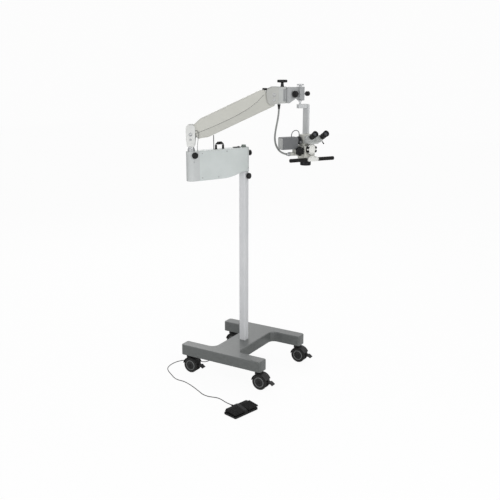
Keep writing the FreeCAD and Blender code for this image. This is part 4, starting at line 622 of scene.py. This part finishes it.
class MicroscopeLooks(bpy.types.PropertyGroup):
    base_colour: bpy.props.FloatVectorProperty(
        name="Base colour", description="Hammered enamel of the wheeled base", subtype="COLOR",
        size=3, min=0, max=1, default=tint(101, 104, 103)[:3])
    column_colour: bpy.props.FloatVectorProperty(
        name="Column colour", description="Powder coat of the column tube", subtype="COLOR",
        size=3, min=0, max=1, default=tint(220, 221, 223)[:3])
    cover_colour: bpy.props.FloatVectorProperty(
        name="Cover colour", description="Paint of the swing housing's cover", subtype="COLOR",
        size=3, min=0, max=1, default=tint(214, 220, 219)[:3])
    lamp_power: bpy.props.FloatProperty(
        name="Lamp power", description="Power of the large soft key lamp", default=95.0, min=0,
        unit="POWER")
    sky_strength: bpy.props.FloatProperty(
        name="Sky strength", description="Plain light that comes from all around", default=0.46, min=0)


class MicroscopeSizes(bpy.types.PropertyGroup):
    cord_diameter: bpy.props.FloatProperty(
        name="Cord diameter", description="Thickness of the foot-switch cord", default=0.0052,
        min=0.002, unit="LENGTH")
    guide_diameter: bpy.props.FloatProperty(
        name="Light guide diameter", description="Thickness of the fibre light guide", default=0.011,
        min=0.004, unit="LENGTH")
    flute_count: bpy.props.IntProperty(
        name="Knob flutes", description="Grip hollows round each clamp knob", default=12, min=6)
    view_distance: bpy.props.FloatProperty(
        name="View distance", description="Level distance from the column to the camera", default=4.79,
        min=1, unit="LENGTH")


def mixed_shader(tree, share, first, second, output):
    """Surface that goes over from one shader to another by a share."""
    mix = new_node(tree, "MixShader")
    tree.links.new(share, mix.inputs["Fac"])
    tree.links.new(first, mix.inputs[1])
    tree.links.new(second, mix.inputs[2])
    tree.links.new(mix.outputs["Shader"], tree.nodes[output].inputs["Surface"])


def studio_paper():
    """Pale floor that takes the soft shadows, with a glow for the camera so that it shows as white."""
    paper = bpy.data.materials.new("Studio paper")
    paper.use_nodes = True
    tree = paper.node_tree
    shader = tree.nodes["Principled BSDF"]
    shader.inputs["Roughness"].default_value = 0.9
    shader.inputs["Specular IOR Level"].default_value = 0.1
    where = new_node(tree, "TexCoord")
    noise = new_node(tree, "TexNoise", {"Scale": 3})
    ramp = new_node(tree, "MapRange", {"To Min": 0.93, "To Max": 0.95})
    tree.links.new(where.outputs["Object"], noise.inputs["Vector"])
    tree.links.new(noise.outputs["Fac"], ramp.inputs["Value"])
    tree.links.new(ramp.outputs["Result"], shader.inputs["Base Color"])
    glow = new_node(tree, "Emission", {"Color": (1, 1, 1, 1), "Strength": FLOOR_GLOW})
    path = new_node(tree, "LightPath")
    share = maths(tree, "MULTIPLY", path.outputs["Is Camera Ray"], FLOOR_GLOW_SHARE)
    mixed_shader(tree, share, shader.outputs["BSDF"], glow.outputs["Emission"], "Material Output")
    return paper


def studio_air(strength):
    """Even light from all around, and a brighter white where the camera, a reflection or glass looks past."""
    world = bpy.data.worlds.new("Studio air")
    world.use_nodes = True
    tree = world.node_tree
    sky = tree.nodes["Background"]
    sky.inputs["Color"].default_value = (1, 1, 1, 1)
    sky.inputs["Strength"].default_value = strength
    seen = new_node(tree, "Background", {"Color": (1, 1, 1, 1), "Strength": AIR_SEEN})
    path = new_node(tree, "LightPath")
    either = maths(tree, "MAXIMUM", path.outputs["Is Camera Ray"], path.outputs["Is Glossy Ray"])
    share = maths(tree, "MAXIMUM", either, path.outputs["Is Transmission Ray"])
    mixed_shader(tree, share, sky.outputs["Background"], seen.outputs["Background"], "World Output")
    return world


class MICROSCOPE_OT_stage(bpy.types.Operator):
    """Camera, floor and soft studio light"""
    bl_idname = "microscope.stage"
    bl_label = "Stage and camera"

    def execute(self, context):
        looks = context.scene.microscope_looks
        clear()
        reach = context.scene.microscope_sizes.view_distance
        c, s = ray(ARM_TURN)
        bpy.ops.object.camera_add(location=(reach * s, -reach * c, VIEW_HEIGHT),
                                  rotation=(math.radians(90 - VIEW_DIP), 0, math.radians(ARM_TURN)))
        camera = context.object
        camera.name = "Photo view"
        camera.data.lens = VIEW_LENS
        camera.data.sensor_width = 36
        camera.data.shift_x = VIEW_SHIFT
        camera.data.clip_end = 60
        context.scene.camera = camera
        clear()
        bpy.ops.mesh.primitive_grid_add(x_subdivisions=8, y_subdivisions=8, size=30, location=(0, 0, 0))
        floor = context.object
        floor.name = "Studio floor"
        floor.data.materials.append(studio_paper())
        context.scene.world = studio_air(looks.sky_strength)
        middle = Vector((0, -0.1, 1.0))
        for name, place, size, share in (
            ("Key lamp", (4.7, -2.8, 2.9), 2.6, 1),
            ("Fill lamp", (-0.6, -5.0, 1.7), 2.6, 0.36),
            ("Rim lamp", (-2.8, 2.6, 3.4), 2.2, 0.4),
        ):
            clear()
            bpy.ops.object.light_add(type="AREA", location=place)
            lamp = context.object
            lamp.name = name
            lamp.data.shape = "DISK"
            lamp.data.size = size
            lamp.data.energy = looks.lamp_power * share
            lamp.rotation_euler = (middle - Vector(place)).to_track_quat("-Z", "Y").to_euler()
        context.scene.view_settings.view_transform = "Standard"
        return {"FINISHED"}


class MICROSCOPE_OT_cords(bpy.types.Operator):
    """Foot-switch cord and light guide"""
    bl_idname = "microscope.cords"
    bl_label = "Cord and light guide"

    def execute(self, context):
        sizes = context.scene.microscope_sizes
        low = CORD_ON_FLOOR
        c, s = ray(SWITCH_TURN)
        route = [
            CORD_GLAND, (-134, -70, 150), (-160, -73, 136), (-177, -78, 108), (-187, -83, 74),
            (-200, -89, 42), (-222, -96, 15), (-256, -103, low), (-300, -109, low), (-345, -122, low),
            (-386, -141, low), (-414, -178, low), (-426, -225, low), (-423, -275, low), (-408, -320, low),
            (-372, -357, low), (-322, -391, low), (-275, -424, low), (-237, -438, low), (-190, -436, low),
            (-145, -449, low), (-87, -474, low), (-18, -510, low), (24, -533, low), (62, -541, low),
            (95, -536, low), (126, -527, low), (158, -531, low), (191, -546, low), (222, -562, 7),
        ]
        for reach in (SWITCH_INLET + 28, SWITCH_INLET):
            route.append((SWITCH_X - reach * s, SWITCH_Y + reach * c, 14))
        cord = lead("foot_switch_cord", route, sizes.cord_diameter / 2 / MM, FINISH["Cord black"])
        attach(cord, "stand")
        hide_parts("pedal_cord")

        guide = sizes.guide_diameter / 2 / MM
        top = [(-111.4, 131.8, 1758.6), (-111.4, 131.8, 1728.6), (-113.2, 131.15, 1712.3)]
        middle = [
            top[-1], (-115, 130.5, 1696), (-124, 126, 1661), (-138, 116, 1627), (-153, 101, 1592),
            (-165, 84, 1558), (-167, 73, 1542),
        ]
        tail = [
            middle[-1], (-169, 62, 1526), (-163, 37, 1498), (-146, 14, 1482), (-123, 0, 1478),
            (-101, 0, 1478),
        ]
        for name, points, first, second in (
            ("light_guide_upper", top, "head", "carrier"),
            ("light_guide_middle", middle, "carrier", "bracket"),
            ("light_guide_lower", tail, "bracket", "optics"),
        ):
            bent_lead(name, points, guide, "Guide sheath", ON_SCOPE, first, second, "light_guide")
        return {"FINISHED"}


class MICROSCOPE_OT_arm_leads(bpy.types.Operator):
    """Lead beside the yoke and lead from the arm's belly to the swing housing"""
    bl_idname = "microscope.arm_leads"
    bl_label = "Arm leads"

    def execute(self, context):
        thin = [
            (28, -40, 1609), (39, -40, 1609), (47, -40, 1599), (47, -40, 1577), (44, -40, 1551),
            (41, -40, 1527), (39, -37, 1510), (38, -24, 1502), (38, -8, 1498),
            (38, -6, SWING_TOP + 0.3),
        ]
        bent_lead("yoke_lead", thin, 1.6, "Lead grey", ON_POST, "post", "swing", "arm_leads", 6)
        clip, foot = (136, -6), (132.7, 92.9)
        spots = []
        for share, height in ((0, 96.5), (0, 80), (0.12, 62), (0.36, 50), (0.7, 42), (1, 30), (1, 0.3)):
            x, y = (a + (b - a) * share for a, b in zip(clip, foot))
            spots.append((x, y, SWING_TOP + height))
        half = tuple((a + b) / 2 for a, b in zip(spots[3], spots[4]))
        for name, points, first, second in (
            ("arm_lead_upper", spots[:4] + [half], "arm", "post"),
            ("arm_lead_lower", [half] + spots[4:], "post", "swing"),
        ):
            bent_lead(name, points, 2.5, "Cord black", ON_POST, first, second, "arm_leads")
        return {"FINISHED"}


class MICROSCOPE_OT_castors(bpy.types.Operator):
    """Grey rings, black discs and axle bolts on the wheels"""
    bl_idname = "microscope.castors"
    bl_label = "Castor trim"

    def execute(self, context):
        trim = (
            ("castor_rings_", "Wheel ring grey", 64, [
                (27.5, 16.5), (27.5, 19), (28.5, 20), (31.5, 20), (33.4, 18.8), (33.4, 16.5), (27.5, 16.5),
            ]),
            ("castor_discs_", "Castor black", 64, [
                (9, 16.5), (9, 21.3), (11, 21.6), (20, 19.4), (26, 18.2), (26.6, 16.5), (9, 16.5),
            ]),
            ("castor_bolts_", "Anodised black", 6, [(0, 20.5), (6.2, 20.5), (6.2, 24.3), (5.4, 25), (0, 25)]),
        )
        for corner in CORNERS:
            low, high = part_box("castor_wheels_" + corner)
            home = standing(((low[0] + high[0]) / 2, (low[1] + high[1]) / 2), AXLE_HEIGHT, 0)
            for name, finish, steps, outline in trim:
                pair = [spun("trim", outline, (0, side * WHEEL_OFFSET, 0), (0, side, 0), home, steps)
                        for side in (-1, 1)]
                finish_piece(joined(name + corner, pair), "wheels_" + corner, finish)
        return {"FINISHED"}


class MICROSCOPE_OT_knobs(bpy.types.Operator):
    """Clamp knobs, brake knobs and brightness dial, with grip hollows round their rims"""
    bl_idname = "microscope.knobs"
    bl_label = "Fluted knobs"

    def execute(self, context):
        count = context.scene.microscope_sizes.flute_count
        for body, radius, thick, at, toward, home, shaft in (
            ("column_clamp", 19, 24, (23, 0, 1300), (1, 0, 0), ON_STAND, 6),
            ("post_brake", 19, 20, (POST_REACH, SWING_HALF_WIDTH, 1459), (0, 1, 0), ON_SWING, 12),
            ("swing_brake", 18, 20, (-SWING_HALF_WIDTH, 0, 1443), (-1, 0, 0), ON_SWING, 2),
        ):
            rim = thick * 0.14
            outline = [
                (0, -shaft), (4, -shaft), (4, 0.3), (7.5, 0.3), (8.5, thick * 0.26),
                (radius - rim, thick * 0.24), (radius, thick * 0.24 + rim), (radius, thick - rim),
                (radius - rim, thick), (radius * 0.66, thick), (radius * 0.6, thick - 1),
                (radius * 0.3, thick - 0.5), (0, thick - 0.4),
            ]
            piece = spun(body + "_grip", outline, at, toward, home, count * 6, count, 1.1,
                         radius - rim * 1.05, 0.35)
            finish_piece(piece, body, "Moulded black", (body + "_knob",))
        tee = spun("brake_tee", [
            (0, -10), (4, -10), (4, 0.3), (11, 0.3), (10.4, 3), (9, 12), (8, 22), (12, 24), (28, 25),
            (30, 27), (30, 37.6), (28, 40), (20, 40), (18.5, 38.8), (6, 38.8), (5, 39.6), (0, 39.6),
        ], BRAKE_SEAT, (0, 0, 1), ON_HEAD, 144, 24, 0.8, 28.5, 0.3)
        finish_piece(tee, "t_knob", "Moulded black", ("t_knob",))
        c, s = ray(BLOCK_TURN)
        for hand, side, radius, thick, stem in (("left", -1, 20, 13, 19), ("right", 1, 14, 20, 36)):
            outline = [
                (0, -11), (4, -11), (4, stem - 4), (7, stem - 1), (7.5, stem), (radius - 2, stem),
                (radius, stem + 2), (radius, stem + thick - 2), (radius - 2, stem + thick),
                (radius * 0.62, stem + thick), (radius * 0.55, stem + thick - 1), (0, stem + thick - 0.6),
            ]
            at = (CARRIER_REACH + side * BLOCK_HALF_WIDTH * c, side * BLOCK_HALF_WIDTH * s, 4)
            piece = spun("pin_clamp_grip_" + hand, outline, at, (side * c, side * s, 0), ON_HEAD, count * 6,
                         count, 0.9, radius - 2.1, 0.3)
            finish_piece(piece, "block_clamp_" + hand, "Moulded black", ("block_knob_" + hand,))
        dial = spun("brightness_dial", [
            (0, -2), (4, -2), (4, 0.3), (16, 0.3), (17, 1.2), (17, 4), (14.6, 5), (14, 13.4), (12.8, 14.8),
            (0, 14.8),
        ], (2, 0, SWING_TOP), (0, 0, 1), ON_SWING, 96, 24, 0.5, 13.5, 0.25)
        pointer = boxed("dial_pointer", (-0.8, 0.8), (4, 13.5), (14.2, 15.4),
                        ON_SWING @ moved(2, 0, SWING_TOP), 0.2, 1)
        finish_piece(dial, "brightness_knob", "Dial green grey", ("brightness_knob",))
        finish_piece(pointer, "brightness_knob", "Drum white")
        return {"FINISHED"}


class MICROSCOPE_OT_housing(bpy.types.Operator):
    """Switch frame, screws and handle sleeves on the swing housing"""
    bl_idname = "microscope.housing"
    bl_label = "Swing housing fittings"

    def execute(self, context):
        bezel = boxed("switch_frame", (32.5, 79.5), (-11, 11), (SWING_TOP - 0.1, SWING_TOP + 4.8),
                      ON_SWING, 1.2)
        only(bezel)
        pick_faces(bezel, lambda centre, normal: normal.z > 0.99)
        bpy.ops.object.mode_set(mode="EDIT")
        bpy.ops.mesh.inset(thickness=0.0022, depth=0)
        bpy.ops.mesh.extrude_region_move(TRANSFORM_OT_translate={"value": (0, 0, -0.0035)})
        bpy.ops.object.mode_set(mode="OBJECT")
        finish_piece(bezel, "swing", "Moulded black")
        screws = []
        for x, z in ((-14, 1352), (-14, 1468), (330, 1318), (330, 1466), (150, 1468), (212, 1314)):
            sink = min(x, 0)
            for side in (-1, 1):
                y = side * (SWING_HALF_WIDTH ** 2 - sink ** 2) ** 0.5
                toward = (sink / SWING_HALF_WIDTH, side, 0)
                screws.append(screw((x, y, z), toward, ON_SWING, 3.4))
        finish_piece(joined("housing_screws", screws), "swing", "Brushed steel")
        sleeve = spun("handle_grip", [
            (4.2, -15), (8.6, -15), (9.2, -13.5), (9.2, -9.5), (8.4, -8.5), (8.4, -5.5), (9.2, -4.5),
            (9.2, -0.5), (8.4, 0.5), (8.4, 3.5), (9.2, 4.5), (9.2, 8.5), (8.6, 10), (9.2, 11), (9.2, 13.5),
            (8.6, 15), (4.2, 15), (4.2, -15),
        ], (HANDLE_CENTRE, 0, SWING_TOP + HANDLE_RISE), (1, 0, 0), ON_SWING, 48)
        finish_piece(sleeve, "swing", "Grip rubber")
        legs = []
        for side in (-1, 1):
            legs.append(spun("leg", [
                (4.1, 1), (8.6, 1), (8.6, 3.4), (6.9, 4.6), (6.6, 24), (5.8, 25.4), (4.1, 25.4), (4.1, 1),
            ], (HANDLE_CENTRE + side * HANDLE_HALF_SPAN, 0, SWING_TOP), (0, 0, 1), ON_SWING, 40))
        finish_piece(joined("handle_legs", legs), "swing", "Grip rubber")
        return {"FINISHED"}


class MICROSCOPE_OT_arm(bpy.types.Operator):
    """Socket heads in the pivot pins, cheeks of the head, and seams and clip of the arm's cover"""
    bl_idname = "microscope.arm"
    bl_label = "Arm fittings"

    def execute(self, context):
        heads = [screw((0, side * YOKE_HALF_WIDTH, PIVOT_HEIGHT), (0, side, 0), ON_POST, 7.4)
                 for side in (-1, 1)]
        finish_piece(joined("yoke_pin_caps", heads), "post", "Brushed steel")
        heads, cheeks, seams = [], [], []
        for side in (-1, 1):
            heads.append(screw((0, side * CHEEK_FACE, 0), (0, side, 0), ON_HEAD, 7.4))
            low, high = sorted((side * HEAD_HALF_WIDTH, side * CHEEK_FACE))
            cheeks.append(sheet_plate("cheek", [
                (26, 44), (-12, 46), (-44, 33), (-48, 4), (-38, -46), (-22, -61), (26, -49),
            ], low, high, ON_HEAD, 5, 1.6))
            route = [(26, -8), (110, -14), (210, -16.5), (300, -16), (430, -2), (492, 27)]
            route = [(x, side * ARM_HALF_WIDTH, z) for x, z in route]
            seams.append(lead("seam", route, 0.8, FINISH["Cord black"], ON_ARM, 2))
        # Pin caps and cheeks share the darker cheek grey, which is painted shade on the sides of the head.
        finish_piece(joined("head_pin_caps", heads), "head", "Cheek shade grey")
        finish_piece(joined("head_cheeks", cheeks), "head", "Cheek shade grey")
        for piece in seams:
            only(piece)
            bpy.ops.object.convert(target="MESH")
        finish_piece(joined("arm_seams", seams), "arm", "Cord black")
        level = ON_ARM @ moved(512, 0, 54) @ turned(ARM_RISE, "Y")
        clip = boxed("arm_clip", (-14, 14), (-15, 15), (-9, 4.5), level, 2, 3)
        finish_piece(clip, "arm", "Moulded black")
        return {"FINISHED"}


class MICROSCOPE_OT_drum(bpy.types.Operator):
    """Ribbed grip pads, white face, a black band of painted shade round the rim, and mark of the
    magnification drum
    """
    bl_idname = "microscope.drum"
    bl_label = "Drum fittings"

    def execute(self, context):
        pads = []
        front = ON_SCOPE @ moved(*DRUM_CENTRE) @ aim((0, -1, 0))
        for angle in (22, 158, 202, 338):
            home = front @ turned(angle, "Z")
            pads.append(boxed("pad", (22, 33), (-7, 7), (3.6, 23.6), home, 2, 4))
            for row in (-3.6, 0, 3.6):
                pads.append(boxed("rib", (23, 33.6), (row - 0.7, row + 0.7), (6, 24), home, 0.5, 2))
        finish_piece(joined("drum_pads", pads), "drum", "Grip rubber")
        for name, finish, steps, outline in (
            ("drum_face", "Drum white", 64, [
                (0, 20), (18.8, 20), (18.8, 22.2), (17.6, 23), (12, 23), (11, 22.2), (6.5, 22.2), (6, 23.2),
                (0, 23.2),
            ]),
            # Black band round the drum's rim: painted shade of the gap between the rim and the body.
            ("drum_shade_band", "Grip rubber", 96, [
                (31.2, 7.6), (32.2, 8.4), (32.2, 16.6), (31.2, 17.4), (31.2, 7.6),
            ]),
            ("drum_mark", "Camera grey", 64, [
                (25.6, 21.4), (25.6, 22.3), (27.4, 22.3), (27.4, 21.4), (25.6, 21.4),
            ]),
        ):
            piece = spun(name, outline, DRUM_CENTRE, (0, -1, 0), ON_SCOPE, steps)
            finish_piece(piece, "drum", finish)
        return {"FINISHED"}


class MICROSCOPE_OT_lenses(bpy.types.Operator):
    """Knurled rings, eye cups, eye lenses and the lever of the tubes"""
    bl_idname = "microscope.lenses"
    bl_label = "Objective and eyepieces"

    def execute(self, context):
        ring = spun("objective_grip", [
            (25.1, 0), (30, 0), (32, 2), (32, 4), (31, 4.6), (31, 5.4), (32, 6), (32, 21.4), (30.6, 22.6),
            (28.2, 24), (28.2, 30.7), (25.1, 30.7), (25.1, 0),
        ], (0, 0, OBJECTIVE_LOW), (0, 0, 1), ON_SCOPE, 180, 60, 0.7, 31.6, 0)
        finish_piece(ring, "objective", "Anodised black", ("objective_ring",))
        c, s = ray(EYEPIECE_RISE)
        spread, forward, up = EYEPIECE_SEAT
        for side, hand in ((-1, "left"), (1, "right")):
            at = (side * spread, forward, up)
            toward = (0, -c, s)
            cup = spun("eye_cup_" + hand, [
                (11.2, 18.2), (14.4, 24.9), (17.9, 25.1), (18.4, 24.2), (17.4, 21), (16.9, 17.2),
                (17.9, 15.6), (17.9, 13.4), (16.9, 12), (16.7, 7), (16.2, 6), (16.2, 8), (11.2, 18.2),
            ], at, toward, ON_SCOPE, 64)
            finish_piece(cup, "eyepiece_" + hand, "Grip rubber")
            ring = spun("dioptre_ring_" + hand, [
                (15.2, -20), (16.3, -20), (16.9, -19.2), (16.9, -9.8), (16.3, -9), (15.2, -9), (15.2, -20),
            ], at, toward, ON_SCOPE, 144, 48, 0.5, 16.5, 0)
            finish_piece(ring, "eyepiece_" + hand, "Anodised black")
            lens = spun("eye_lens_" + hand, [
                (0, 17.2), (10.9, 17.2), (10.9, 18), (7.4, 18.9), (3.6, 19.5), (0, 19.7),
            ], at, toward, ON_SCOPE, 48)
            finish_piece(lens, "eyepiece_" + hand, "Lens glass")
        lever = spun("tube_lever", [
            (0, 4), (3, 4), (3.4, 5), (3.4, 8), (2.9, 9), (2.9, 15.4), (4, 16.6), (4, 19.4), (3, 20.4),
            (0, 20.4),
        ], (44.5, -104.4, 1557.3), (0.447, -0.42, -0.79), ON_SCOPE, 32)
        finish_piece(lever, "tube_right", "Grip rubber")
        return {"FINISHED"}


class MICROSCOPE_OT_body(bpy.types.Operator):
    """Light port, strain relief of the light guide, camera fittings and screws"""
    bl_idname = "microscope.body"
    bl_label = "Fittings of the microscope's body"

    def execute(self, context):
        port = spun("light_port_ring", [
            (5.8, -6), (9.2, -6), (11.6, -4), (11.6, 3.5), (10.4, 5), (8.6, 5.6), (8.2, 15), (7.2, 17),
            (5.7, 17), (5.8, -6),
        ], LIGHT_PORT, (-1, 0, 0), ON_SCOPE, 48)
        finish_piece(port, "optics", "Brushed steel")
        sleeve = spun("guide_relief", [
            (5.8, 0), (10, 0), (10, 3), (8.8, 4), (8.8, 7), (8.2, 8), (8.2, 11), (7.6, 12), (7.6, 15),
            (7, 16), (7, 19), (6.6, 20), (6.4, 26), (5.6, 26), (5.8, 0),
        ], (30, 0, -57.8), (0, 0, -1), ON_HEAD, 40)
        finish_piece(sleeve, "head", "Moulded black")
        # Thin pale plate on the camera's end: painted light on its lit end face.
        end = boxed("camera_lit_end_plate", (-170.6, -168.8), (-18, 34), (1511, 1573), ON_SCOPE, 1.4)
        finish_piece(end, "optics", "Camera lit face")
        knurl = spun("camera_lock_ring", [
            (17.2, 9.4), (22.3, 9.4), (23, 10.2), (23, 24.8), (22.3, 25.6), (17.2, 25.6), (17.2, 9.4),
        ], CAMERA_SEAT, (-1, 0, 0), ON_SCOPE, 144, 48, 0.6, 22.6, 0)
        finish_piece(knurl, "optics", "Anodised black")
        screws = []
        for y, z in ((62, 1751), (88, 1751), (62, 1741), (88, 1741)):
            screws.append(screw((51, y, z), (1, 0, 0), ON_SCOPE, 2.6))
        finish_piece(joined("bracket_screws", screws), "bracket", "Brushed steel")
        screws = []
        for x in (-27, 27):
            for z in (1449, 1517):
                screws.append(screw((x, -50, z), (0, -1, 0), ON_SCOPE, 2.4))
        for z in (1536, 1580):
            screws.append(screw((35, 0, z), (1, 0, 0), ON_SCOPE, 2.4))
        finish_piece(joined("optics_screws", screws), "optics", "Brushed steel")
        return {"FINISHED"}


class MICROSCOPE_OT_foot_switch(bpy.types.Operator):
    """Grip ribs on the pedals and the ringed strain reliefs at both ends of the cord"""
    bl_idname = "microscope.foot_switch"
    bl_label = "Foot switch fittings"

    def execute(self, context):
        for side, hand in ((-1, "left"), (1, "right")):
            ribs = []
            x = sorted((side * 18, side * 88))
            for index in range(8):
                y = -43 + 8.2 * index
                z = PEDAL_LOW + PEDAL_RISE * (y - PEDAL_FRONT) / PEDAL_DEPTH
                ribs.append(boxed("rib", x, (y - 1.7, y + 1.7), (z - 0.8, z + 1.3), ON_SWITCH, 0.7, 2))
            finish_piece(joined("pedal_ribs_" + hand, ribs), "pedal_" + hand, "Pedal rubber")
        sleeve = spun("cord_relief", ribbed_sleeve(7.4, 1.5, 5.4, 6, 7.4, 0.62, 3.2, 1.4, 34.5),
                      (0, 50, 14), (0, 1, 0), ON_SWITCH, 32)
        finish_piece(sleeve, "stand", "Moulded black")
        sleeve = spun("gland_relief", ribbed_sleeve(5.2, 1, 5, 4, 5, 0.5, 3, 0.8, 22),
                      CORD_GLAND, (-1, 0, 0), ON_STAND, 32)
        finish_piece(sleeve, "stand", "Moulded black")
        return {"FINISHED"}


class MICROSCOPE_OT_paint(bpy.types.Operator):
    """Paint and metal finishes on the solid parts"""
    bl_idname = "microscope.paint"
    bl_label = "Finishes"

    def execute(self, context):
        for name, finish in NODE_FINISH.items():
            slots = NODES[name].material_slots
            if not slots:
                raise RuntimeError(name + " has no material slot")
            for slot in slots:
                slot.material = FINISH[finish]
        return {"FINISHED"}


def register():
    for item in CLASSES:
        bpy.utils.register_class(item)
    bpy.types.Scene.microscope_looks = bpy.props.PointerProperty(type=MicroscopeLooks)
    bpy.types.Scene.microscope_sizes = bpy.props.PointerProperty(type=MicroscopeSizes)


def unregister():
    del bpy.types.Scene.microscope_sizes
    del bpy.types.Scene.microscope_looks
    for item in reversed(CLASSES):
        bpy.utils.unregister_class(item)


class MICROSCOPE_PT_tools(bpy.types.Panel):
    """Steps that dress the microscope, in their order"""
    bl_idname = "MICROSCOPE_PT_tools"
    bl_label = "Surgical Microscope"
    bl_space_type = "VIEW_3D"
    bl_region_type = "UI"
    bl_category = "Microscope"

    def draw(self, context):
        column = self.layout.column()
        for item in OPERATORS:
            column.operator(item.bl_idname)


OPERATORS = (
    MICROSCOPE_OT_stage, MICROSCOPE_OT_cords, MICROSCOPE_OT_arm_leads, MICROSCOPE_OT_castors,
    MICROSCOPE_OT_knobs, MICROSCOPE_OT_housing, MICROSCOPE_OT_arm, MICROSCOPE_OT_drum,
    MICROSCOPE_OT_lenses, MICROSCOPE_OT_body, MICROSCOPE_OT_foot_switch, MICROSCOPE_OT_paint,
)
CLASSES = (MicroscopeLooks, MicroscopeSizes) + OPERATORS + (MICROSCOPE_PT_tools,)


def main():
    register()
    build_finishes(bpy.context.scene.microscope_looks)
    bpy.ops.microscope.stage()
    bpy.ops.microscope.cords()
    bpy.ops.microscope.arm_leads()
    bpy.ops.microscope.castors()
    bpy.ops.microscope.knobs()
    bpy.ops.microscope.housing()
    bpy.ops.microscope.arm()
    bpy.ops.microscope.drum()
    bpy.ops.microscope.lenses()
    bpy.ops.microscope.body()
    bpy.ops.microscope.foot_switch()
    bpy.ops.microscope.paint()
    clear()


if __name__ == "__main__":
    main()
